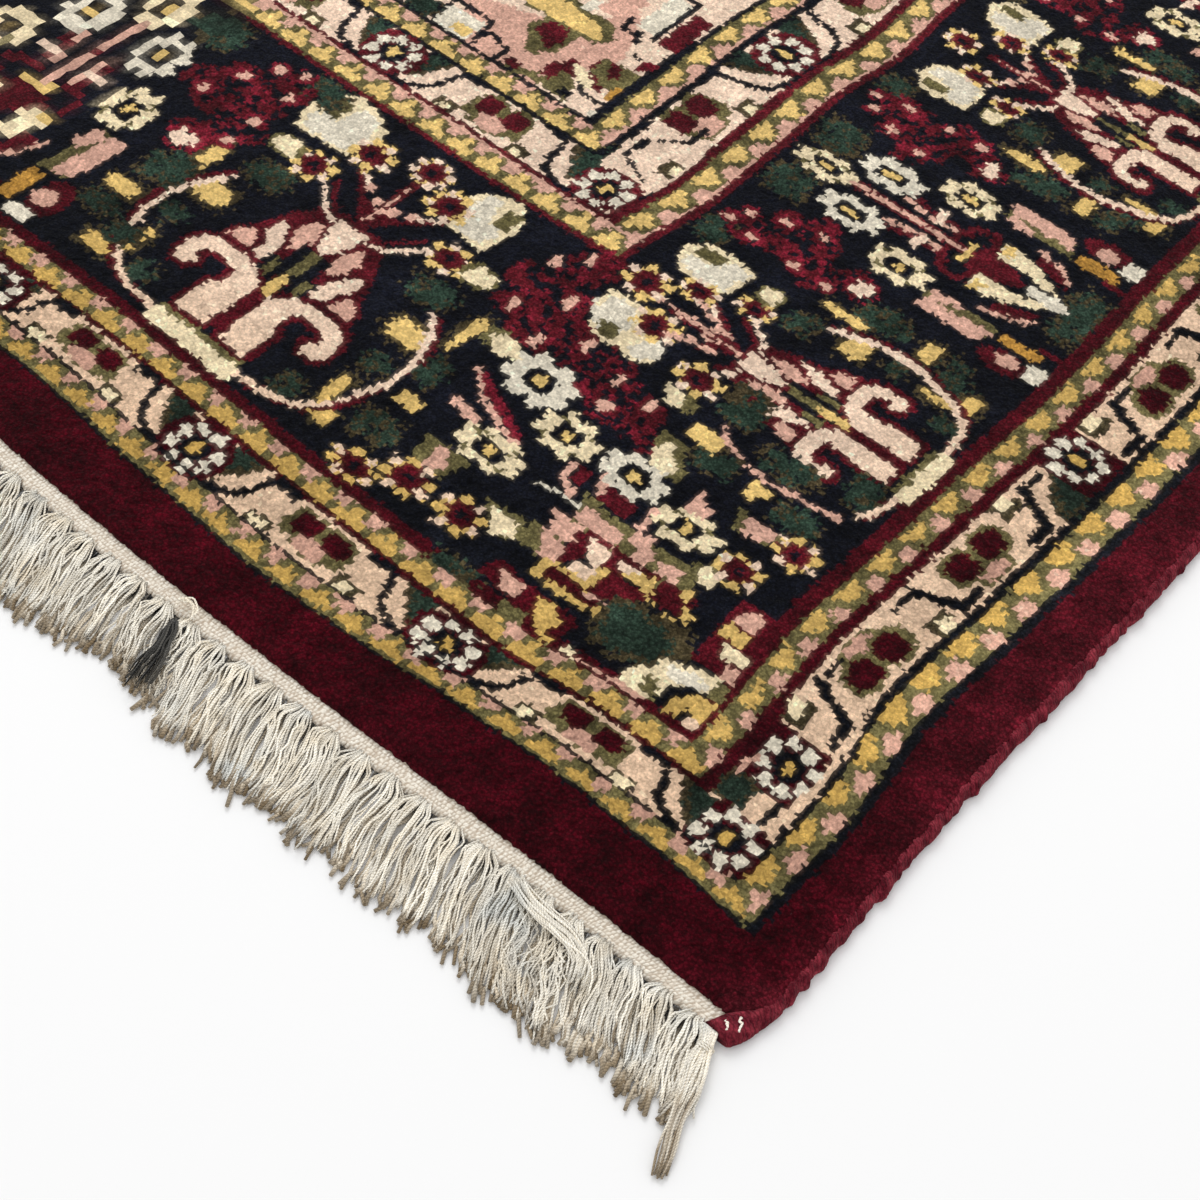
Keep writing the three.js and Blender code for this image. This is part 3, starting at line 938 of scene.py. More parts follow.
# How far the border's lines have moved inwards on the real rug, in cartoon units
end_line_drift = (
    # x, the outer guard's line, the second guard's line, the inner guard's line
    (0, 0, 0, 0),
    (30, 0, 0, 0),
    (75, 2.4, 1, 0),
    (140, 3.9, 0.5, -1),
    (185, 2.2, -3, -0.5),
    (235, -2, -1.6, 0.8),
    (290, -4.3, 0.4, 0.5),
    (370, -1.4, 2.2, -1),
    (440, 1.7, 3.6, -0.5),
    (560, 0, 0, 0),
)
side_line_drift = (
    # y, the outer guard's line, the third guard's line
    (0, 0, 0),
    (40, -1, 0),
    (90, -3, 0),
    (170, 4, -1),
    (230, 1.5, 1),
    (285, 0, 3.4),
    (349, -1.5, -3),
    (400, -2, -1.3),
    (459, -1, 1.4),
    (508, 0, -2.7),
    (577, 0, 2.6),
    (680, 0, 0),
)


def drift(table, along, inward, lines):
    """The drift of a point: smooth along the table, and shared out between the lines."""
    places = [row[0] for row in table]
    middle = np.clip(np.searchsorted(places, along, side="right") - 1, 0, len(places) - 2)
    table = np.array(table)
    t = ease((along - table[middle, 0]) / (table[middle + 1, 0] - table[middle, 0]))
    moved = table[middle, 1:] * (1 - t[..., None]) + table[middle + 1, 1:] * t[..., None]
    moved = np.concatenate([0 * moved[..., :1], moved, 0 * moved[..., :1]], -1)
    stops = np.array([0, *lines, lines[-1] + 170])
    step = np.clip(np.searchsorted(stops, inward, side="right") - 1, 0, len(stops) - 2)
    s = np.clip((inward - stops[step]) / (stops[step + 1] - stops[step]), 0, 1)
    low = np.take_along_axis(moved, step[..., None], -1)[..., 0]
    high = np.take_along_axis(moved, step[..., None] + 1, -1)[..., 0]
    return low * (1 - s) + high * s


pile_margin = 3


def knot_place(row, column):
    """The real place of a crossing of the knot grid, in metres. Columns count from the right side."""
    from_side, from_end = column * knot_width, row * knot_length
    x_unit, y_unit = from_side / cartoon_unit, from_end / cartoon_unit
    x = half_rug - from_side - cartoon_unit * drift(side_line_drift, y_unit, x_unit, (30, 300))
    y = near_pile + from_end + cartoon_unit * drift(end_line_drift, x_unit, y_unit, (30, 70, 280))
    x = x + push_x[row, column]
    y = y + push_y[row, column] * np.where((row == 0) | (row == 2 * rows), 0.7, 1)
    # the outermost knots are squeezed in between the cords, whose width changes at the corners
    first = pile_margin * knot_width
    for side, distance in ((1, from_side), (-1, rug_width - from_side)):
        x = x - side * (cord_width(y) + gap - first) * (1 - ease((distance - first) / 0.02))
    edge = (column == pile_margin) | (column == 2 * columns - pile_margin)
    lean_out = 0.0010 + 1.3 * np.abs(push_y[row, column])
    x = np.where(edge, np.sign(x) * (half_rug - cord_width(y) + lean_out), x)
    x, y = woven(x, y)
    # the pile leans outwards and falls away at the rug's ends and sides
    end = np.minimum(row, 2 * rows - row) * knot_length
    side = np.minimum(column, 2 * columns - column) * knot_width - first
    fall = 0.0016 * (1 - np.clip(end / 0.0034, 0, 1)) ** 2 + 0.0007 * (1 - np.clip(side / 0.004, 0, 1)) ** 2
    z = pile_top - 0.0004 + tuft_height[row, column] - fall
    return x, y, z


# %% [markdown]
# The colour of each face. A dyed silk is never quite even, so each knot is a little lighter or darker than
# the next, each row of knots a little different from its neighbours, and where two colours meet a little of
# one mixes into the other.

# %% The knots' colours
def linear(silk):
    """The linear colour of a dyed silk that is given as it looks on a screen."""
    share = np.array(silk) / 255
    return np.where(share < 0.04045, share / 12.92, ((share + 0.055) / 1.055) ** 2.4)


dyed_colours = np.array([linear(silk) for silk in silks.values()])
sheen_lit_colours = np.array([linear(sheen_lit_silks.get(name, silk)) for name, silk in silks.items()])
from_side = np.minimum(np.arange(2 * columns), np.arange(2 * columns)[::-1])[None]
from_end = np.minimum(np.arange(2 * rows), np.arange(2 * rows)[::-1])[:, None]
from_rim = np.minimum(from_side * knot_width, from_end * knot_length)
# painted sheen: away from the rim each knot blends into the lighter, sheen-lit copy of its silk
inner = ease((from_rim - 0.04) / 0.12)[..., None]
knot_colours = dyed_colours[knots] * (1 - inner) + sheen_lit_colours[knots] * inner
knot_colours = knot_colours * np.exp(chance.normal(0, 0.15, knots.shape))[..., None]
# Painted sheen and wear: the knots are lighter along the side away from the corner, where the pile is
# sheen-lit, and lighter still at the very edge, where the rim is worn
sheen_along_side = ease((34 - from_side) / 12) * ease((from_end - 12) / 120)
at_corner = 1 - ease((from_end - 6) / 10)
rim = (0.5 + 0.9 * at_corner) * np.exp(-(from_side - pile_margin) / (3.0 + 3.0 * at_corner))
wear_and_sheen = 1 + 0.55 * sheen_along_side + rim + 0.35 * np.exp(-from_end / 2.0)
knot_colours = knot_colours * wear_and_sheen[..., None] + 0.005 * (wear_and_sheen[..., None] - 1)
row_shade = np.convolve(chance.normal(0, 1, knots.shape[0] + 8), np.ones(5) / 5, "same")[4:-4]
knot_colours = knot_colours * np.exp(0.05 * row_shade)[:, None, None]
edged = np.pad(knot_colours, ((1, 1), (1, 1), (0, 0)), "edge")
crossing_colours = (edged[:-1, :-1] + edged[1:, :-1] + edged[:-1, 1:] + edged[1:, 1:]) / 4
mixed_in = 0.2


def deselect():
    """Leaves edit mode and clears the selection."""
    if bpy.context.object and bpy.context.object.mode != "OBJECT":
        bpy.ops.object.mode_set(mode="OBJECT")
    bpy.ops.object.select_all(action="DESELECT")


def coordinates(piece):
    """The piece's vertex places as an array with a row for each."""
    places = np.empty(3 * len(piece.data.vertices), np.float32)
    piece.data.vertices.foreach_get("co", places)
    return places.reshape(-1, 3).astype(float)


def place_vertices(piece, x, y, z):
    """Moves the piece's vertices to these places."""
    places = np.column_stack([x, y, z]).astype(np.float32)
    piece.data.vertices.foreach_set("co", places.ravel())
    piece.data.update()


def corner_vertices(piece):
    """The vertex at every corner of every face."""
    corners = np.empty(len(piece.data.loops), np.int32)
    piece.data.loops.foreach_get("vertex_index", corners)
    return corners


def flat_grid(name, across, along):
    """A flat grid, two metres each way, with its own name."""
    deselect()
    bpy.ops.mesh.primitive_grid_add(x_subdivisions=across, y_subdivisions=along, size=2)
    grid = bpy.context.object
    grid.name = name
    return grid


def lidded_grid(name, across, along):
    """A flat grid whose rim is pulled down by a metre and closed below."""
    grid = flat_grid(name, across, along)
    bpy.ops.object.mode_set(mode="EDIT")
    bpy.ops.mesh.select_all(action="SELECT")
    bpy.ops.mesh.region_to_loop()
    bpy.ops.mesh.extrude_region_move(TRANSFORM_OT_translate={"value": (0, 0, -1)})
    bpy.ops.mesh.edge_face_add()
    bpy.ops.object.mode_set(mode="OBJECT")
    return grid


def say_size(piece):
    """Prints how many triangles the piece has."""
    print(piece.name, "has", sum(len(face.vertices) - 2 for face in piece.data.polygons), "triangles")


def pile_piece(name, first_column, last_column, first_row, last_row, step):
    """One piece of pile, with a face for step knots each way. A coarse one reaches under its neighbours."""
    tuck = step if step > 1 else 0
    first_column -= tuck * (first_column > pile_margin)
    last_column += tuck * (last_column < 2 * columns - pile_margin)
    first_row -= tuck * (first_row > 0)
    last_row += tuck * (last_row < 2 * rows)
    across, along = (last_column - first_column) // step, (last_row - first_row) // step
    piece = lidded_grid(name, across, along)
    flat = coordinates(piece)
    column = first_column + step * np.rint((1 - flat[:, 0]) / 2 * across).astype(int)
    row = first_row + step * np.rint((flat[:, 1] + 1) / 2 * along).astype(int)
    x, y, z = knot_place(row, column)
    under = (column == first_column) & (first_column > pile_margin)
    under |= (column == last_column) & (last_column < 2 * columns - pile_margin)
    under |= ((row == first_row) & (first_row > 0)) | ((row == last_row) & (last_row < 2 * rows))
    z = z - 0.0006 * (under & (tuck > 0))
    place_vertices(piece, x, y, np.where(flat[:, 2] < -0.5, pile_foot, z))

    faces = len(piece.data.polygons)
    corners, totals = corner_vertices(piece), np.empty(faces, np.int32)
    piece.data.polygons.foreach_get("loop_total", totals)
    face_of = np.repeat(np.arange(faces), totals)
    middle_column = np.bincount(face_of, column[corners]) / totals
    middle_row = np.bincount(face_of, row[corners]) / totals
    # a face has its own knot's colour, mixed at its corners with those of the knots around it
    own = knot_colours[
        np.clip(middle_row.astype(int), first_row, last_row - 1),
        np.clip(middle_column.astype(int), first_column, last_column - 1),
    ]
    shade = own[face_of] * (1 - mixed_in) + crossing_colours[row[corners], column[corners]] * mixed_in
    layer = piece.data.color_attributes.new("dyed_silk", "BYTE_COLOR", "CORNER")
    rgba = np.column_stack([shade, np.ones(len(shade))]).astype(np.float32)
    layer.data.foreach_set("color", rgba.ravel())
    piece.data.update()
    deselect()
    piece.select_set(True)
    bpy.ops.object.shade_smooth_by_angle(angle=math.radians(62))
    say_size(piece)
    return piece


pile_foot = 0.0018
pile_parts = (
    # name, first and last column, first and last row, knots to a face
    ("Pile_Corner_Outer", 3, 174, 0, 342, 1),
    ("Pile_Corner_Inner", 174, 345, 0, 342, 1),
    ("Pile_Near_Border", 345, 957, 0, 216, 3),
    ("Pile_Right_Border", 3, 237, 342, 450, 1),
    ("Pile_Right_Border_Far", 3, 237, 450, 1284, 3),
    ("Pile_Left_Border", 723, 957, 216, 1284, 3),
    ("Pile_Far_Border", 3, 957, 1284, 1500, 3),
    ("Pile_Field", 237, 723, 342, 1284, 3),
    ("Pile_Field_Near", 345, 723, 216, 342, 3),
)
pile = [pile_piece(*part) for part in pile_parts]

# %% [markdown]
# The ground cloth is the cotton that the knots are tied on. It is one thin closed slab under the whole pile,
# and it reaches a little past it, where the flat weave lies on it.

# %% The ground cloth
def ground_cloth():
    """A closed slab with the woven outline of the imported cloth."""
    across, along, tucked_in = 24, 38, 0.0020
    cloth = flat_grid("Ground_Cloth", across, along)
    bpy.ops.object.mode_set(mode="EDIT")
    bpy.ops.mesh.select_all(action="SELECT")
    bpy.ops.mesh.extrude_region_move(TRANSFORM_OT_translate={"value": (0, 0, 1)})
    bpy.ops.mesh.normals_make_consistent(inside=False)
    bpy.ops.object.mode_set(mode="OBJECT")
    flat = coordinates(cloth)
    y = flat[:, 1] * (pile_length / 2 + flat_end - tucked_in)
    x, y = woven(flat[:, 0] * (half_rug - cord_width(y) - gap), y)
    z = np.where(flat[:, 2] > 0.5, pile_foot + 0.0001, 0)
    z = np.where((flat[:, 2] > 0.5) & (np.abs(flat[:, 1]) > 0.9999), flat_top * 0.55, z)
    place_vertices(cloth, x, y, z)
    return cloth


ground = ground_cloth()
print("the ground cloth has", len(ground.data.polygons), "faces")

# %% [markdown]
# The flat weave at each end is plain: thick cream wefts that pass over and under the warps, so that it looks
# like rows of beads, every second row half a bead further on. The beads are hills in a fine grid, finer in
# the photographed stretch. Its outer edge is drawn in a little at each tassel's knot.

# %% The flat-woven ends
bead_width, bead_rows = 0.0016, 6
under_pile = 0.0016


def flat_weave(name, turn, fine_until, fine_step, coarse_step, steps_per_row):
    """The strip of flat weave at one end. turn is -1 for the far end, which is the near one turned round."""
    strip_side = half_rug - side_cord_width - corner_flare * 0.8
    fine = np.arange(0, fine_until, fine_step)
    coarse = np.linspace(fine_until, 2 * strip_side, int((2 * strip_side - fine_until) / coarse_step))
    stations = np.concatenate([fine, coarse])
    across, along = len(stations) - 1, bead_rows * steps_per_row
    strip = lidded_grid(name, across, along)
    flat = coordinates(strip)
    column = np.rint((1 - flat[:, 0]) / 2 * across).astype(int)
    share = (flat[:, 1] + 1) / 2
    from_right = stations[column]
    x = strip_side - from_right
    y = near_edge + share * (flat_end + under_pile)
    row = np.minimum(np.floor(share * bead_rows + 1e-6), bead_rows - 1)
    # the beads slip a little along their rows, and each is more or less full
    slip_count, strip_reach = 900, 0.7
    slips = chance.normal(0, 0.16, (bead_rows, slip_count))
    place_in_row = np.clip((x / (2 * strip_reach) + 0.5) * slip_count, 0, slip_count - 1).astype(int)
    slip = slips[row.astype(int), place_in_row]
    wander = np.cumsum(chance.normal(0, 0.12, 300))
    slip = slip + np.interp(x, np.linspace(-strip_reach, strip_reach, len(wander)), wander)
    beads = x / bead_width + slip + row / 2
    bead_count = 1000
    fullness = chance.uniform(0.55, 1.0, (bead_rows, bead_count))
    fullness = fullness[row.astype(int), np.rint(beads).astype(int) % bead_count]
    bead = 0.5 + 0.5 * np.cos(2 * np.pi * beads)
    row_hill = 0.30 + 0.70 * np.abs(np.sin(np.pi * share * bead_rows))
    hill = np.clip(bead * row_hill * fullness + chance.normal(0, 0.08, len(x)), 0, 1)
    # the outer edge is drawn in at the tassels' knots and has the small loops of the last weft
    drawn = 0.5 + 0.5 * np.cos(2 * np.pi * (from_right - fringe_edge) / tassel_pitch)
    loop_places = np.arange(-strip_reach, strip_reach, 0.0011)
    loops = np.interp(x, loop_places, chance.normal(0, 0.00035, len(loop_places)))
    y = y + (0.0007 * drawn + loops) * (1 - share) ** 2 + chance.normal(0, 0.00006, len(y))
    z = flat_top - 0.0007 + 0.0008 * hill + 0.0005 * share
    z = z - 0.0014 * (1 - np.clip(share / 0.2, 0, 1)) ** 2
    z = np.where(flat[:, 2] < -0.5, 0.0004, z)
    x, y = woven(x, y)
    place_vertices(strip, turn * x, turn * y, z)
    bead_shade = strip.data.attributes.new("painted_bead_shade", "FLOAT", "POINT")
    # painted shade: the beads' colour darkens in the hollows between them, towards the pile and on the strip's
    # walls
    shown = hill * (1 - 0.7 * ease((share - 0.74) / 0.2)) * (1 - 0.5 * (flat[:, 2] < -0.5))
    bead_shade.data.foreach_set("value", shown.astype(np.float32))
    strip.data.polygons.foreach_set("use_smooth", np.ones(len(strip.data.polygons), bool))
    strip.data.update()
    say_size(strip)
    return strip


fringe_edge, tassel_pitch = 0.0085, 0.014
weaves = [
    flat_weave("Flat_Weave_Near", 1, 0.42, bead_width / 3, bead_width, 3),
    flat_weave("Flat_Weave_Far", -1, 0.0, bead_width, bead_width, 2),
]

# %% [markdown]
# The side cords. A few warps at each side are wrapped with burgundy yarn all the way up, and the wrapping
# ends in a tight flared binding at each corner. The turns lie close together, slanted, and some stand out or
# have slipped. The cord starts as a grid with a row for each step along the side. The grid is rolled up into
# a tube along the woven edge, merged at its seam and closed at its ends, and every other row is a little
# thicker than the next.

# %% The wrapped side cords
cord_sides = 10
# The cord's section: a place round it, a share of its width outwards and a share of its height
cord_section = (
    (0.00, 0.00, 0.00),
    (0.12, 0.00, 0.66),
    (0.22, 0.12, 0.86),
    (0.33, 0.34, 0.95),
    (0.45, 0.62, 0.90),
    (0.57, 0.86, 0.72),
    (0.68, 1.00, 0.42),
    (0.80, 0.95, 0.12),
    (0.90, 0.78, 0.00),
    (1.00, 0.00, 0.00),
)
cord_around, cord_across, cord_up = (np.array(part) for part in zip(*cord_section))
turn_spacing = 0.0016


def side_cord(name, turn, fine_until, seed):
    """One wrapped cord. It has two rings for every turn of yarn up to fine_until, and fewer beyond."""
    ends = pile_length / 2 + flat_end
    fine = np.arange(-ends, -ends + fine_until, turn_spacing / 2)
    rest = np.arange(-ends + fine_until, ends, turn_spacing * 1.5)
    stations = np.concatenate([fine, rest, [ends]])
    cord = flat_grid(name, cord_sides, len(stations) - 1)
    flat = coordinates(cord)
    ring = np.rint((flat[:, 1] + 1) / 2 * (len(stations) - 1)).astype(int)
    around = (flat[:, 0] + 1) / 2
    y = np.clip(stations[ring] + 0.0016 * np.sin(2 * np.pi * around), -ends, ends)
    width = cord_width(y)
    own = np.random.default_rng(seed)
    every = np.arange(-ends, ends, 0.0028)
    lump = np.interp(stations, every, own.normal(0, 1, len(every)))
    slip = np.interp(stations, every, own.normal(0, 1, len(every)))
    thick = 0.11 * lump + own.normal(0, 0.05, len(stations)) + 0.06 * (np.arange(len(stations)) % 2)
    grown = np.clip(1 + thick[ring], 0.7, 1.25)
    outward = 0.00045 * slip[ring] * np.interp(around, cord_around, cord_across)
    bulge = width * np.interp(around, cord_around, cord_across) * (1 + 0.3 * thick[ring])
    x = half_rug - width + bulge + outward
    z = np.maximum(side_cord_top * np.interp(around, cord_around, cord_up) * grown, 0)
    x, y = woven(x, y)
    place_vertices(cord, turn * x, turn * y, z)
    layer = cord.data.uv_layers.new(name="wrap")
    uv = np.column_stack([around, stations[ring] / turn_spacing])[corner_vertices(cord)]
    layer.data.foreach_set("uv", uv.astype(np.float32).ravel())
    bpy.ops.object.mode_set(mode="EDIT")
    bpy.ops.mesh.select_all(action="SELECT")
    bpy.ops.mesh.remove_doubles(threshold=1e-6)
    bpy.ops.mesh.select_all(action="DESELECT")
    bpy.ops.mesh.select_non_manifold()
    bpy.ops.mesh.edge_face_add()
    bpy.ops.mesh.select_all(action="SELECT")
    bpy.ops.mesh.normals_make_consistent(inside=False)
    bpy.ops.object.mode_set(mode="OBJECT")
    bpy.ops.object.shade_smooth()
    say_size(cord)
    return cord


cords = [side_cord("Side_Wrap_Right", 1, 0.50, 11), side_cord("Side_Wrap_Left", -1, 0.0, 12)]

# %% [markdown]
# The fringe. Past the flat weave the warps are gathered in tassels, each tied once close to the weave. A
# tassel's yarns come out of the knot side by side, spread to the full width and hang to one side. Yarns are
# swept from one small template: a ring that is extruded step by step, whose rings are then laid along each
# yarn's own path. The lower yarns are darker, partly soiled and partly with painted shade, and the tips are
# brown with use.

# %% The yarn template
def yarn_template(sides, steps):
    """A straight closed tube of unit length along z, from a ring and extrusions, as arrays."""
    deselect()
    bpy.ops.mesh.primitive_circle_add(vertices=sides, radius=1, fill_type="NGON")
    tube = bpy.context.object
    bpy.ops.object.mode_set(mode="EDIT")
    bpy.ops.mesh.select_all(action="SELECT")
    for step in range(steps):
        bpy.ops.mesh.extrude_region_move(TRANSFORM_OT_translate={"value": (0, 0, 1 / steps)})
    bpy.ops.mesh.select_all(action="SELECT")
    bpy.ops.mesh.normals_make_consistent(inside=False)
    bpy.ops.object.mode_set(mode="OBJECT")
    places = coordinates(tube)
    faces = [tuple(face.vertices) for face in tube.data.polygons]
    bpy.data.objects.remove(tube)
    ring = np.rint(places[:, 2] * steps).astype(int)
    angle = np.arctan2(places[:, 1], places[:, 0])
    return ring, angle, faces


def swept(name, paths, radii, tints, sides):
    """One mesh of tubes. paths has a row of places for each yarn, radii and tints a value for each place."""
    count, stations = radii.shape
    ring, angle, faces = yarn_template(sides, stations - 1)
    ahead = np.gradient(paths, axis=1)
    ahead /= np.linalg.norm(ahead, axis=2, keepdims=True)
    beside = np.cross(ahead, [0, 0, 1.0])
    beside /= np.maximum(np.linalg.norm(beside, axis=2, keepdims=True), 1e-6)
    over = np.cross(beside, ahead)
    centre, side, top = paths[:, ring], beside[:, ring], over[:, ring]
    radius = radii[:, ring][..., None]
    swing = np.cos(angle)[None, :, None] * side + np.sin(angle)[None, :, None] * top
    places = (centre + radius * swing).reshape(-1, 3)
    size = len(ring)
    mesh = bpy.data.meshes.new(name)
    lengths = np.array([len(face) for face in faces])
    corners = np.concatenate(faces)
    starts = np.arange(count)[:, None] * size
    all_corners = (corners[None] + starts).ravel()
    all_lengths = np.tile(lengths, count)
    mesh.vertices.add(len(places))
    mesh.vertices.foreach_set("co", places.astype(np.float32).ravel())
    mesh.loops.add(len(all_corners))
    mesh.loops.foreach_set("vertex_index", all_corners.astype(np.int32))
    mesh.polygons.add(len(all_lengths))
    mesh.polygons.foreach_set("loop_start", (np.cumsum(all_lengths) - all_lengths).astype(np.int32))
    mesh.polygons.foreach_set("use_smooth", np.ones(len(all_lengths), bool))
    mesh.update(calc_edges=True)
    steps_long = np.linalg.norm(np.diff(paths, axis=1), axis=2)
    run = np.concatenate([np.zeros((count, 1)), np.cumsum(steps_long, 1)], 1)
    around = angle / (2 * np.pi)
    face_of = np.repeat(np.arange(len(faces)), lengths)
    wrap = np.array([around[list(face)].max() - around[list(face)].min() > 0.5 for face in faces])
    corner_around = around[corners]
    corner_around = corner_around + (wrap[face_of] & (corner_around < 0)) * 1.0
    u = np.tile(corner_around, count)
    v = run[:, ring][:, corners].ravel() * 1000
    uv = mesh.uv_layers.new(name="ply")
    uv.data.foreach_set("uv", np.column_stack([u, v]).astype(np.float32).ravel())
    tint = mesh.attributes.new("yarn_tint", "FLOAT_VECTOR", "POINT")
    tint.data.foreach_set("vector", tints[:, ring].reshape(-1, 3).astype(np.float32).ravel())
    piece = bpy.data.objects.new(name, mesh)
    bpy.context.scene.collection.objects.link(piece)
    return piece


# %% [markdown]
# A tassel's length and lean change along the fringe, in stretches that were pressed flat together. The upper
# yarns come out of a narrow knot, fan out into a rounded head and hang side by side. The lower ones come from
# the whole width between two knots, lie flat and stick out further.

# %% The tassels' table
tassel_stretches = (
    # until, length, lean, in metres from the corner, and how much further the lower yarns reach
    (0.031, 0.031, 0.012, 0.13),
    (0.062, 0.029, 0.016, 0.22),
    (0.093, 0.039, 0.020, 0.05),
    (0.117, 0.037, 0.018, 0.04),
    (0.177, 0.038, 0.007, 0.03),
    (0.244, 0.037, 0.012, 0.05),
    (0.277, 0.029, 0.010, 0.14),
    (0.306, 0.036, 0.004, 0.12),
    (0.354, 0.037, 0.017, 0.08),
)
yarn_radius = 0.00038
tangled = {4: 3.2, 5: 3.0, 17: 1.8, 22: 1.6}


def tassel_table():
    """Each tassel's middle, length, lean and lower reach, from the right corner to the left one."""
    count = int((rug_width - 2 * fringe_edge) / tassel_pitch)
    pitch = (rug_width - 2 * fringe_edge) / count
    table = []
    for number in range(count):
        from_corner = fringe_edge + number * pitch
        place = from_corner % tassel_stretches[-1][0]
        length, lean, lower = next(rest for until, *rest in tassel_stretches if place < until)
        fuller = 1 + 0.05 * math.sin(2.4 * number)
        table.append((half_rug - from_corner - pitch / 2, length * fuller, lean * fuller, lower))
    table = np.array(table)
    for _ in range(3):
        table[1:-1, 2] = (table[:-2, 2] + 2 * table[1:-1, 2] + table[2:, 2]) / 4
    return table, pitch


# %% The yarns of a stretch of tassels
def tassel_yarns(numbers, upper, lower, steps, own, thickness=1.0):
    """Paths, radii and tints of all the yarns of these tassels, before the turn to either end."""
    table, pitch = tassel_table()
    each = upper + lower
    number = np.repeat(np.array(numbers), each)
    middle, length, lean, reach = table[number].T[..., None]
    place = np.concatenate([np.linspace(-1, 1, upper), np.linspace(-1, 1, lower)])
    place = (np.tile(place, len(numbers)) + own.normal(0, 0.05, len(number)))[:, None]
    over = np.tile(np.concatenate([np.ones(upper), np.zeros(lower)]), len(numbers))[:, None]
    column = (len(number), 1)
    # t counts along a yarn from 0 to 1. Some neighbours clump together, and share their length and bends
    mess = np.array([tangled.get(one, 1.0) for one in number])[:, None]
    t = np.linspace(0, 1, steps + 1)[None] ** 1.25
    clump = np.clip((3.4 * (place + 1)).astype(int), 0, 6) + 7 * number[:, None]
    clumped = own.normal(0, 1, (4, 7 * len(table)))[:, clump]
    longer = 1 + own.normal(0, 0.018, column) + 0.035 * clumped[3] - 0.05 * np.abs(place)
    longer = longer + (reach + own.normal(0, 0.02, column)) * (1 - over)
    s = t * length * longer

    # across the fringe: out of the knot in a fan, then side by side, leaning and a little wavy
    fan = np.radians(own.uniform(20, 66, len(table)))[number][:, None] * place
    run = np.clip(s / 0.0075, 0, 1)
    root = 0.0044 - 0.0014 * np.abs(np.sin(fan / np.maximum(np.abs(place), 0.01)))
    opened = ease((run + 0.35 * np.abs(np.sin(fan)) * run) / 1.1)
    head = root * place + (pitch / 2 - root) * place * opened
    x = np.where(over > 0, head, (pitch / 2 * 0.98) * place)
    x = x * (1 - 0.14 * ease((t - 0.45) / 0.55))
    x = x + lean * t**1.18 + (own.normal(0, 0.0013, column) * (2.2 - over)) * t**1.5
    shared = own.normal(0, 1, (len(table), 2))[number]
    x = x + 0.0013 * shared[:, :1] * np.sin(5.2 * t + 3 * shared[:, 1:]) * ease(3 * t)
    x = x + 0.0010 * clumped[0] * ease(2.5 * t) * np.sin(2.5 * t + clumped[1])
    for size, turns in ((0.00056, 1.6), (0.00032, 3.8)):
        phase, rate = own.uniform(0, 2 * np.pi, column), turns * own.uniform(0.7, 1.3, column)
        x = x + size * mess * own.normal(0, 1, column) * np.sin(2 * np.pi * rate * t + phase) * ease(4 * t)
    # along the yarn: the outer yarns of a fan bend down first
    dip = 0.0036 * (1 - np.cos(fan)) * (1 - (1 - run) ** 2) * over
    y = near_edge + own.uniform(0.0004, 0.0026, column) * over - 0.0002 - s + dip * 0.55
    rise = 0.0005 * mess * own.normal(0, 1, column)
    y = y + rise * np.sin(2 * np.pi * 1.7 * t + own.uniform(0, 6, column)) * ease(3 * t)

    # the tips of the lower yarns are matted
    matted = (1 - over) * ease((t - 0.72) / 0.2)
    x = x + own.normal(0, 0.0007, s.shape) * matted
    y = y + own.normal(0, 0.0006, s.shape) * matted

    # height: the upper yarns rise over the knot and come down to the floor
    level = own.uniform(0, 1, column)
    hump = 0.0024 + (0.0006 + 0.0016 * level) * ease(s / 0.0055) * (1 - 0.4 * place**2)
    hump = hump - (0.0015 + 0.0012 * level) * ease((t - 0.3) / 0.7)
    z = np.where(over > 0, hump, 0.0006 + 0.0005 * level)
    rise = 0.00022 * own.normal(0, 1, column)
    z = z + rise * np.sin(2 * np.pi * 2.2 * t + own.uniform(0, 6, column)) * over
    z = z + 0.0004 * clumped[2] * ease(2 * t) * over

    # thickness: uneven, and frayed at the tips of the lower yarns
    radii = thickness * yarn_radius * (1 + own.normal(0, 0.12, column))
    radii = radii * (1 + 0.06 * own.normal(0, 1, s.shape))
    frayed = 1 + 0.75 * (1 - over) * ease((t - 0.7) / 0.2)
    radii = radii * np.where(over > 0, 1, 1.3) * frayed * (1 - 0.15 * ease((t - 0.95) / 0.05))
    z = np.maximum(z, radii * 0.95)
    # tints: brown tips, painted shade at the roots below the knots, painted light on the higher upper yarns, a
    # darker share for the lower yarns, and every yarn a little different
    brown = ease((t - own.normal(1.0, 0.05, column) + 0.2 * (own.random(column) < 0.1)) / 0.10)
    brown = np.maximum(brown, 0.3 * (own.random(column) < 0.22) * ease((t - 0.2) / 0.4))
    low_brown = ease((t - own.normal(0.81, 0.06, column)) / 0.12) * own.uniform(0.75, 1.1, column)
    brown = np.where(over > 0, brown, low_brown)
    root_shade = -0.9 * (1 - over) * (1 - ease((s - 0.0035) / 0.006)) - 0.16 * over * (1 - ease(s / 0.003))
    shade = own.normal(0, 0.11, column) + 0.38 * (level - 0.62) * over + root_shade
    tints = np.stack([brown, shade + 0 * t, own.uniform(0.35, 1, column) * (1 - over) + 0 * t], -1)
    return np.stack([middle + x, y, z], -1), radii, tints


def laid(yarns, turn=1):
    """Moves yarns to the woven edge, or to the far end, which is the near one turned round."""
    paths, radii, tints = yarns
    x, y = woven(paths[..., 0], np.maximum(paths[..., 1], near_edge))
    y = y + np.minimum(paths[..., 1] - near_edge, 0)
    return np.stack([turn * x, turn * y, paths[..., 2]], -1), radii, tints


# %% [markdown]
# The corner's own tassel. It is tied once more a little below its root, and nearly half of its yarns are much
# longer than the others, discoloured and matted together. Loose yarns lie on the fringe near it.

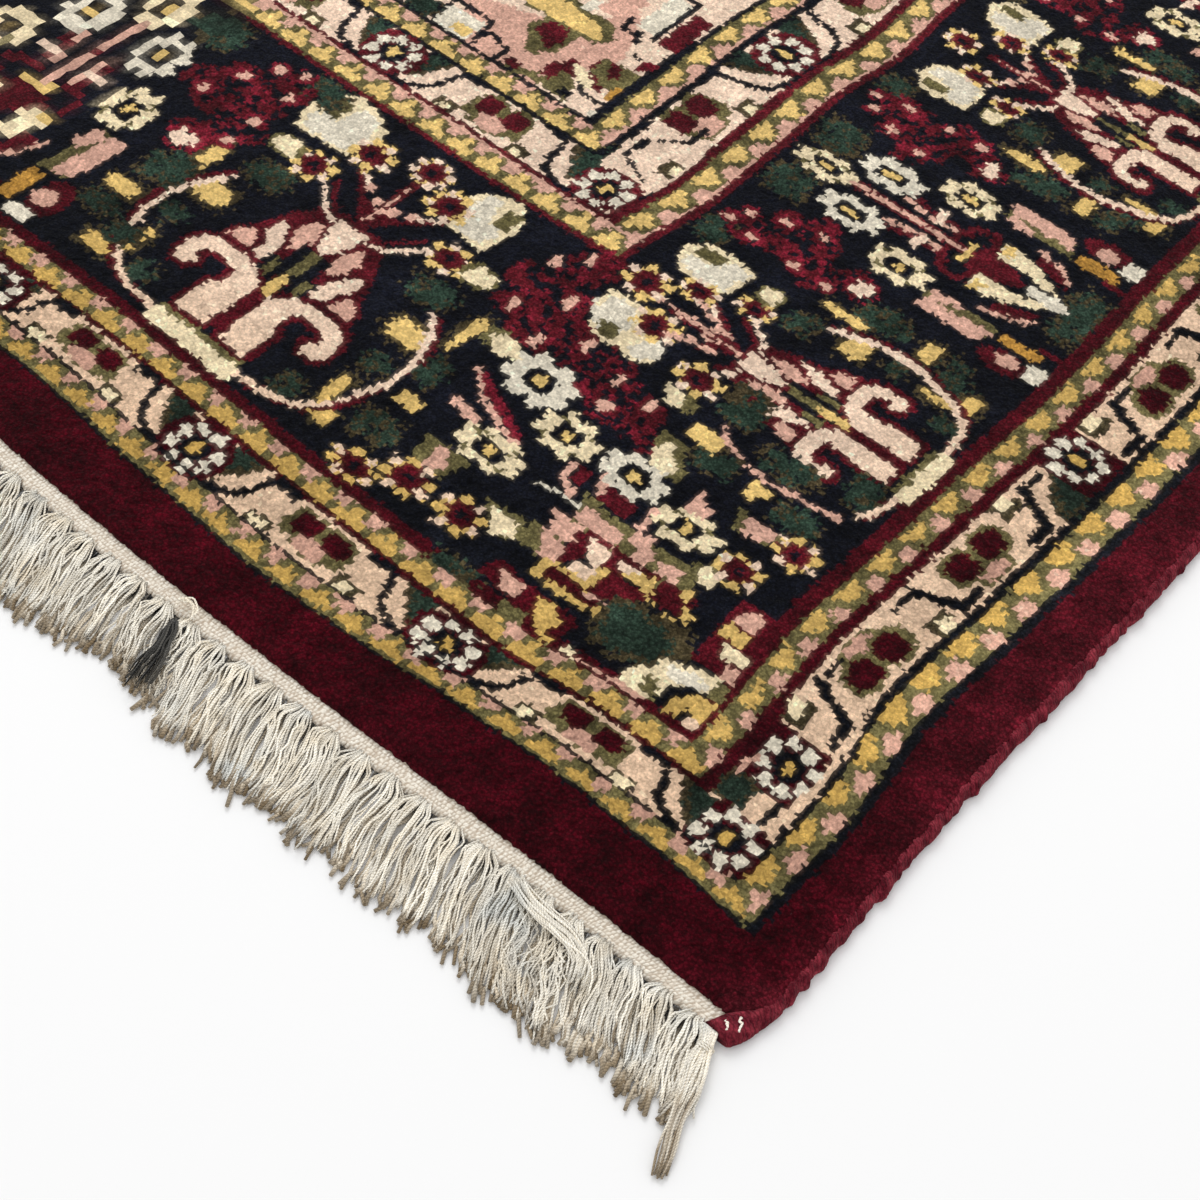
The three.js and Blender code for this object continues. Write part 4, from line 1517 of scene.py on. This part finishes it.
# %% The corner tassel and a few loose threads
def strand(points, steps):
    """A smooth path through a few points, as an array of places."""
    points = np.array(points, float)
    at = np.concatenate([[0], np.cumsum(np.linalg.norm(np.diff(points, axis=0), axis=1))])
    at = at / at[-1]
    t = np.linspace(0, 1, 4 * steps + 1)
    path = np.stack([np.interp(t, at, points[:, k]) for k in range(3)], -1)
    for _ in range(3 * steps // 4):
        path[1:-1] = (path[:-2] + 2 * path[1:-1] + path[2:]) / 4
    return path[::4]


def corner_yarns(steps, own):
    """The corner tassel's yarns: paths, radii and tints."""
    paths, radii, tints = [], [], []
    t = np.linspace(0, 1, steps + 1)
    side = half_rug
    yarn_count, short_ones, bindings = 66, 36, 3
    for number in range(yarn_count):
        p, lift = own.uniform(-1, 1), own.uniform(0, 1)
        long = number >= short_ones
        if long:
            end = (side + 0.0042 + 0.0019 * p, near_pile - own.normal(0.054, 0.0012))
        else:
            end = (side - 0.0050 + 0.0045 * p, near_pile - own.normal(0.0365, 0.0016))
        path = strand((
            (side - 0.0142 + 0.0030 * p, near_edge + 0.0025, 0.0030 + 0.0008 * lift),
            (side - 0.0112 + 0.0018 * p, near_pile - 0.0115, 0.0016 + 0.0030 * lift),
            (side - 0.0094 + 0.0048 * p, near_pile - 0.019, 0.0014 + 0.0032 * lift),
            (side - 0.0056 + 0.0046 * p * (0.7 if long else 1), near_pile - 0.030, 0.0011 + 0.0022 * lift),
            (*end, 0.0007 + 0.0008 * lift),
        ), steps)
        path[:, 0] += 0.0005 * np.sin(2 * np.pi * own.uniform(1, 3) * t + own.uniform(0, 6)) * ease(3 * t)
        paths.append(path)
        radii.append(1.1 * yarn_radius * (1 - 0.15 * ease((t - 0.95) / 0.05)) * own.normal(1, 0.08))
        streak = own.choice([0.3, 0.5, 0.75, 1.0]) * ease((t - 0.25) / 0.3)
        streak = streak + ease((t - own.normal(0.86, 0.05)) / 0.1)
        brown = np.minimum(streak, 1) if long else 0.6 * ease((t - 0.8) / 0.2) + own.uniform(0, 0.15)
        tints.append(np.stack([brown, own.normal(0.04, 0.12) + 0 * t, 0.15 * long + 0 * t], -1))
    for number in range(bindings):
        turn = np.linspace(-0.3, 1.3, steps + 1) * np.pi
        y = near_pile - 0.0118 - 0.0009 * number
        over_x, over_z = side - 0.0112 - 0.0027 * np.cos(turn), 0.0018 + 0.0033 * np.sin(turn)
        paths.append(np.stack([over_x, y + 0.0003 * turn, np.maximum(over_z, yarn_radius)], -1))
        radii.append(np.full(steps + 1, yarn_radius * 0.9))
        tints.append(np.stack([0 * t, 0.05 + 0 * t, 0 * t], -1))
    return np.array(paths), np.array(radii), np.array(tints)


def hank(points, count, spread, steps, own, tint=(0, 0, 0), opens=0.0):
    """Loose yarns that lie together along one path. opens spreads them out towards its end."""
    t = np.linspace(0, 1, steps + 1)
    paths, radii, tints = [], [], []
    for _ in range(count):
        aside, lift = own.normal(0, spread, 2), own.uniform(0, spread)
        share = 1 + opens * (np.linspace(0, 2, len(points)) - 1)
        moved = [(x + s * aside[0], y + s * aside[1], z + lift) for (x, y, z), s in zip(points, share)]
        path = strand(moved, steps)
        for axis in (0, 1):
            path[:, axis] += 0.0004 * np.sin(2 * np.pi * own.uniform(1, 3) * t + own.uniform(0, 6))
        paths.append(path)
        radii.append(yarn_radius * own.normal(1, 0.1) * (1 - 0.2 * ease((t - 0.92) / 0.08)))
        shade = tint[1] + own.normal(0, 0.12) * (0.25 if tint[1] < -0.5 else 1) + 0 * t
        tints.append(np.stack([tint[0] + 0 * t, shade, tint[2] + 0 * t], -1))
    return np.array(paths), np.array(radii), np.array(tints)


def joined(*parts):
    """Several sets of yarns as one."""
    return [np.concatenate(arrays) for arrays in zip(*parts)]


# %% The fringes
shown, fringe_steps = 31, 14
tassel_count = len(tassel_table()[0])
loose = np.random.default_rng(25)
# A hank that lies across its neighbours, a dark one that was caught in the fringe, a few threads in a loop on
# the flat weave, and two stitches of the same cotton over the corner of the cord: each by its path
across_others = (
    (0.590, -1.0800, 0.0050),
    (0.598, -1.0830, 0.0058),
    (0.607, -1.0840, 0.0060),
    (0.616, -1.0835, 0.0056),
    (0.624, -1.0860, 0.0050),
    (0.627, -1.0930, 0.0042),
)
caught_in_fringe = (
    (0.4272, -1.0850, 0.0052),
    (0.4300, -1.0910, 0.0056),
    (0.4325, -1.0965, 0.0056),
    (0.4340, -1.1030, 0.0050),
    (0.4352, -1.1100, 0.0030),
)
loose_loop = (
    (0.4200, -1.0770, 0.0046),
    (0.4235, -1.0745, 0.0050),
    (0.4285, -1.0765, 0.0050),
    (0.4300, -1.0800, 0.0048),
)
first_stitch = ((0.6734, -1.0707, 0.0050), (0.6745, -1.0721, 0.0054), (0.6756, -1.0735, 0.0050))
second_stitch = ((0.6764, -1.0670, 0.0050), (0.6777, -1.0690, 0.0054), (0.6790, -1.0709, 0.0050))
dark_tint, light_tint = (0, -0.94, 0), (0, 0.1, 0)
near_yarns = joined(
    laid(tassel_yarns(range(shown), 25, 14, fringe_steps, np.random.default_rng(21))),
    corner_yarns(fringe_steps, np.random.default_rng(24)),
    hank(across_others, 30, 0.0021, fringe_steps, loose),
    hank(caught_in_fringe, 24, 0.0017, fringe_steps, loose, dark_tint, 0.6),
    hank(loose_loop, 4, 0.0006, fringe_steps, loose, light_tint),
    hank(first_stitch, 2, 0.0002, fringe_steps, loose, light_tint),
    hank(second_stitch, 2, 0.0002, fringe_steps, loose, light_tint),
)
other_near = laid(tassel_yarns(range(shown, tassel_count), 10, 4, 5, np.random.default_rng(22), 1.7))
far_yarns = laid(tassel_yarns(range(tassel_count), 10, 4, 5, np.random.default_rng(23), 1.7), -1)
fringes = [
    swept("Tassels_Near_Corner", *near_yarns, 4),
    swept("Tassels_Near", *other_near, 4),
    swept("Tassels_Far", *far_yarns, 4),
]
for piece in fringes:
    say_size(piece)

# %% [markdown]
# The finishes. The silk pile takes its colour from the dyed knots. Noise as fine as the fibres breaks it up
# and gives the surface its nap, with painted glints and painted shade between the tufts; broad soft noise
# paints lighter and darker sheen in patches where the pile leans another way, and the sheen brightens it at a
# low angle, as cut silk does.

# %% Helpers for materials
class Finish:
    """A material and its nodes. The shader's constant values are set on its own sockets."""

    def __init__(self, name, roughness, sheen=0.0, sheen_roughness=0.5, specular=0.5):
        self.material = bpy.data.materials.new(name)
        self.material.use_nodes = True
        self.nodes, self.links = self.material.node_tree.nodes, self.material.node_tree.links
        self.shader = self.nodes["Principled BSDF"]
        self.shader.inputs["Roughness"].default_value = roughness
        self.shader.inputs["Sheen Weight"].default_value = sheen
        self.shader.inputs["Sheen Roughness"].default_value = sheen_roughness
        self.shader.inputs["Specular IOR Level"].default_value = specular
        self.place = self.nodes.new("ShaderNodeTexCoord").outputs["Object"]

    def attribute(self, name):
        """A value or colour that is stored on the mesh."""
        node = self.nodes.new("ShaderNodeAttribute")
        node.attribute_name = name
        return node

    def parts(self, vector):
        """The three numbers of a vector."""
        node = self.nodes.new("ShaderNodeSeparateXYZ")
        self.links.new(vector, node.inputs[0])
        return node.outputs

    def map_of(self, name):
        """The two numbers of a UV map."""
        node = self.nodes.new("ShaderNodeUVMap")
        node.uv_map = name
        return self.parts(node.outputs[0])

    def noise(self, source, scale, detail=2.0, rough=0.5, curl=0.0):
        """Noise on the given coordinates."""
        node = self.nodes.new("ShaderNodeTexNoise")
        node.inputs["Scale"].default_value = scale
        node.inputs["Detail"].default_value = detail
        node.inputs["Roughness"].default_value = rough
        node.inputs["Distortion"].default_value = curl
        self.links.new(source, node.inputs["Vector"])
        return node.outputs["Fac"]

    def spread(self, source, low, high, out_low, out_high):
        """Maps a value from one range to another."""
        node = self.nodes.new("ShaderNodeMapRange")
        for socket, value in zip(("From Min", "From Max", "To Min", "To Max"),
                                 (low, high, out_low, out_high)):
            node.inputs[socket].default_value = value
        self.links.new(source, node.inputs["Value"])
        return node.outputs["Result"]

    def sum_of(self, kind, first, second):
        """A Math node on two values or sockets."""
        node = self.nodes.new("ShaderNodeMath")
        node.operation = kind
        for socket, value in zip(node.inputs, (first, second)):
            if isinstance(value, (int, float)):
                socket.default_value = value
            else:
                self.links.new(value, socket)
        return node.outputs[0]

    def scaled(self, colour, factor):
        """A colour times a value."""
        node = self.nodes.new("ShaderNodeVectorMath")
        node.operation = "SCALE"
        self.links.new(colour, node.inputs[0])
        self.links.new(factor, node.inputs["Scale"])
        return node.outputs[0]

    def bumped(self, height, distance, strength=1.0):
        """Feeds a height into the shader's normal."""
        node = self.nodes.new("ShaderNodeBump")
        node.inputs["Distance"].default_value = distance
        node.inputs["Strength"].default_value = strength
        self.links.new(height, node.inputs["Height"])
        self.links.new(node.outputs["Normal"], self.shader.inputs["Normal"])

    def blend(self, factor, first, second):
        """Mixes two colours, given as sockets or as linear values."""
        node = self.nodes.new("ShaderNodeMix")
        node.data_type = "RGBA"
        for socket, value in ((node.inputs[0], factor), (node.inputs[6], first), (node.inputs[7], second)):
            if isinstance(value, bpy.types.NodeSocket):
                self.links.new(value, socket)
            elif isinstance(value, (int, float)):
                socket.default_value = value
            else:
                socket.default_value = (*value, 1)
        return node.outputs[2]


# %% The silk pile
def silk():
    """Cut silk pile over the dyed knots."""
    kit = Finish("Silk_Pile", 0.8, sheen=0.03, sheen_roughness=0.3, specular=0.05)
    dyed = kit.attribute("dyed_silk")
    fibres = kit.noise(kit.place, 1500, 3, 0.75, 1.2)
    nap = kit.noise(kit.place, 55, 4, 0.7)
    tufts = kit.nodes.new("ShaderNodeTexVoronoi")
    tufts.inputs["Scale"].default_value = 760
    kit.links.new(kit.place, tufts.inputs["Vector"])
    # painted shade: the colour darkens in the crevices between the tufts
    painted_tuft_shade = kit.spread(tufts.outputs["Distance"], 0.30, 0.66, 1.06, 0.68)
    light = kit.spread(fibres, 0.33, 0.67, 0.66, 1.34)
    light = kit.sum_of("MULTIPLY", light, painted_tuft_shade)
    brightness = kit.nodes.new("ShaderNodeRGBToBW")
    kit.links.new(dyed.outputs["Color"], brightness.inputs[0])
    light = kit.sum_of("POWER", light, kit.spread(brightness.outputs[0], 0.02, 0.35, 1.7, 0.6))
    # painted sheen: broad soft noise lightens and darkens the colour in patches, where the pile leans another
    # way
    painted_sheen_patches = kit.spread(nap, 0.3, 0.7, 0.78, 1.28)
    painted_sheen_patches = kit.sum_of("POWER", painted_sheen_patches, kit.spread(brightness.outputs[0], 0.02, 0.35, 3.2, 0.8))
    light = kit.sum_of("MULTIPLY", light, painted_sheen_patches)
    lit = kit.nodes.new("ShaderNodeVectorMath")
    lit.operation = "ADD"
    kit.links.new(kit.scaled(dyed.outputs["Color"], light), lit.inputs[0])
    # painted glints: the brightest fibres get a little light added to their colour
    kit.links.new(kit.spread(fibres, 0.62, 0.82, 0, 0.03), lit.inputs[1])
    kit.links.new(lit.outputs[0], kit.shader.inputs["Base Color"])
    height = kit.sum_of("SUBTRACT", fibres, tufts.outputs["Distance"])
    kit.bumped(height, 0.0008, 0.7)
    return kit.material


# %% [markdown]
# Cotton is used twice: woven flat, as rows of beads with painted shade in the crevices between them, and
# plied in the yarns of the fringe, where two strands turn round each other with painted shade between them.
# The flat weave reads the painted shade of its beads, and the yarns read their own map, so that the pattern
# follows the thread.

# %% Cotton
# cotton's own colour, and a darker one for the lower yarns that is partly soil and partly painted shade
cotton_light, cotton_soiled_and_shaded = (1.0, 0.945, 0.83), (0.66, 0.56, 0.42)


def woven_cotton():
    """The flat weave's wefts over its warps."""
    kit = Finish("Woven_Cotton", 0.9, sheen=0.15, specular=0.2)
    fibres = kit.noise(kit.place, 3200, 2, 0.6)
    dirt = kit.noise(kit.place, 160, 2, 0.5)
    bead_shade = kit.attribute("painted_bead_shade")
    tone = kit.blend(kit.spread(dirt, 0.35, 0.75, 0, 0.4), cotton_light, (0.66, 0.52, 0.38))
    # painted shade in the crevices between the beads
    tone = kit.blend(kit.spread(bead_shade.outputs["Fac"], 0.02, 0.45, 0, 1), (0.52, 0.42, 0.32), tone)
    light = kit.spread(fibres, 0.3, 0.7, 0.82, 1.12)
    kit.links.new(kit.scaled(tone, light), kit.shader.inputs["Base Color"])
    kit.bumped(fibres, 0.0003, 0.6)
    return kit.material


def plied_cotton():
    """The fringe's yarns, with tints for the brown tips, painted light and shade on single yarns, and the lower
    layer.
    """
    kit = Finish("Plied_Cotton", 0.85, sheen=0.15, specular=0.2)
    ply = kit.map_of("ply")
    turns = kit.sum_of("MULTIPLY", ply[1], 1 / 2.4)
    phase = kit.sum_of("ADD", turns, ply[0])
    strand = kit.sum_of("SINE", kit.sum_of("MULTIPLY", phase, 4 * math.pi), 0.0)
    strand = kit.spread(strand, -1, 1, 0, 1)
    tint = kit.attribute("yarn_tint")
    brown, shade, lower = kit.parts(tint.outputs["Vector"])
    fibres = kit.noise(kit.place, 3500, 2, 0.6)
    dirt = kit.noise(kit.place, 90, 3, 0.5)
    painted_cool_shade = kit.noise(kit.place, 48, 2, 0.5)
    tone = kit.blend(kit.spread(dirt, 0.45, 0.8, 0, 0.5), cotton_light, (0.70, 0.55, 0.33))
    # painted shade: soft patches of the yarns turn a cool blue-grey
    tone = kit.blend(kit.spread(painted_cool_shade, 0.56, 0.74, 0, 0.5), tone, (0.68, 0.74, 0.76))
    # the lower yarns are darker: partly soiled, partly painted shade
    tone = kit.blend(lower, tone, cotton_soiled_and_shaded)
    tone = kit.blend(kit.sum_of("MULTIPLY", brown, 0.9), tone, (0.20, 0.14, 0.075))
    # painted shade and light along the two strands of each ply
    light = kit.spread(strand, 0, 1, 0.74, 1.10)
    light = kit.sum_of("MULTIPLY", light, kit.spread(fibres, 0.3, 0.7, 0.9, 1.2))
    # painted light and shade from each yarn's tint: dark roots, lighter high yarns
    light = kit.sum_of("MULTIPLY", light, kit.sum_of("ADD", shade, 1.0))
    kit.links.new(kit.scaled(tone, light), kit.shader.inputs["Base Color"])
    kit.bumped(strand, 0.0003, 0.7)
    return kit.material


# %% The wrapping yarn and the backs of the knots
def wrapping_yarn():
    """Burgundy yarn wound round the side cords."""
    kit = Finish("Wrapping_Yarn", 0.8, sheen=0.03, specular=0.06)
    wrap = kit.map_of("wrap")
    fibres = kit.noise(kit.place, 2200, 3, 0.65, 0.8)
    wear = kit.noise(kit.place, 260, 3, 0.6)
    slack = kit.spread(kit.noise(kit.place, 420, 2, 0.5), 0.3, 0.7, -0.45, 0.45)
    turns = kit.sum_of("ADD", wrap[1], slack)
    groove = kit.sum_of("SINE", kit.sum_of("MULTIPLY", turns, 2 * math.pi), 0.0)
    tone = kit.blend(kit.spread(wear, 0.38, 0.68, 0, 1), (0.10, 0.006, 0.014), (0.30, 0.034, 0.052))
    light = kit.spread(fibres, 0.32, 0.68, 0.6, 1.4)
    # painted shade in the grooves between the turns of yarn
    light = kit.sum_of("MULTIPLY", light, kit.spread(groove, -0.9, 0.2, 0.66, 1.05))
    kit.links.new(kit.scaled(tone, light), kit.shader.inputs["Base Color"])
    height = kit.sum_of("ADD", kit.sum_of("MULTIPLY", groove, 0.5), fibres)
    kit.bumped(height, 0.0006, 0.8)
    return kit.material


def knot_backs():
    """The ground cloth: cotton with the dark backs of the knots."""
    kit = Finish("Knot_Backs", 0.9, specular=0.2)
    rib = kit.noise(kit.place, 700, 1, 0.5)
    tone = kit.blend(kit.spread(rib, 0.45, 0.55, 0, 1), (0.09, 0.018, 0.026), (0.30, 0.22, 0.16))
    kit.links.new(tone, kit.shader.inputs["Base Color"])
    kit.bumped(rib, 0.0006, 0.8)
    return kit.material


def dress(pieces, material):
    """Gives pieces their material."""
    for piece in pieces:
        piece.data.materials.clear()
        piece.data.materials.append(material)


dress(pile, silk())
dress([ground], knot_backs())
dress(weaves, woven_cotton())
dress(fringes, plied_cotton())
dress(cords, wrapping_yarn())

# %% [markdown]
# The floor is plain and pale and the light soft: a bright even sky all round and one large lamp overhead, on
# the side that the photograph is lit from.

# %% Floor and light
deselect()
bpy.ops.mesh.primitive_plane_add(size=30, location=(0, 0, -0.0002))
floor = bpy.context.object
floor.name = "Floor"
floor_finish = bpy.data.materials.new("Pale_Floor")
floor_finish.use_nodes = True
floor_finish.node_tree.nodes["Principled BSDF"].inputs["Base Color"].default_value = (0.86, 0.86, 0.86, 1)
floor_finish.node_tree.nodes["Principled BSDF"].inputs["Roughness"].default_value = 0.9
floor.data.materials.append(floor_finish)

world = bpy.data.worlds.new("Studio")
world.use_nodes = True
world.node_tree.nodes["Background"].inputs["Color"].default_value = (1, 1, 1, 1)
world.node_tree.nodes["Background"].inputs["Strength"].default_value = 0.9
bpy.context.scene.world = world
bpy.context.scene.view_settings.view_transform = "Standard"


def lamp(name, place, aim, size, watts):
    """A square area lamp that faces a point."""
    light = bpy.data.lights.new(name, "AREA")
    light.size = size
    light.energy = watts
    holder = bpy.data.objects.new(name, light)
    bpy.context.scene.collection.objects.link(holder)
    holder.location = place
    holder.rotation_euler = (Vector(aim) - Vector(place)).to_track_quat("-Z", "Y").to_euler()


lamp("Key", (-1.2, 0.6, 2.2), (0.4, -0.8, 0), 1.6, 40)

# %% [markdown]
# The pieces ride on the rug's only body, and together they stand for the imported solids.

# %% Bodies and nodes
cloth_pieces = [ground, *pile, *weaves]
for piece in (*cloth_pieces, *cords, *fringes):
    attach(piece, "root")
for piece in cloth_pieces:
    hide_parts("Rug_Cloth")
for piece, node in zip(cords, ("Side_Cord_Right", "Side_Cord_Left")):
    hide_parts(node)
for piece in fringes[:2]:
    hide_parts("Fringe_Near")
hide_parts("Fringe_Far")
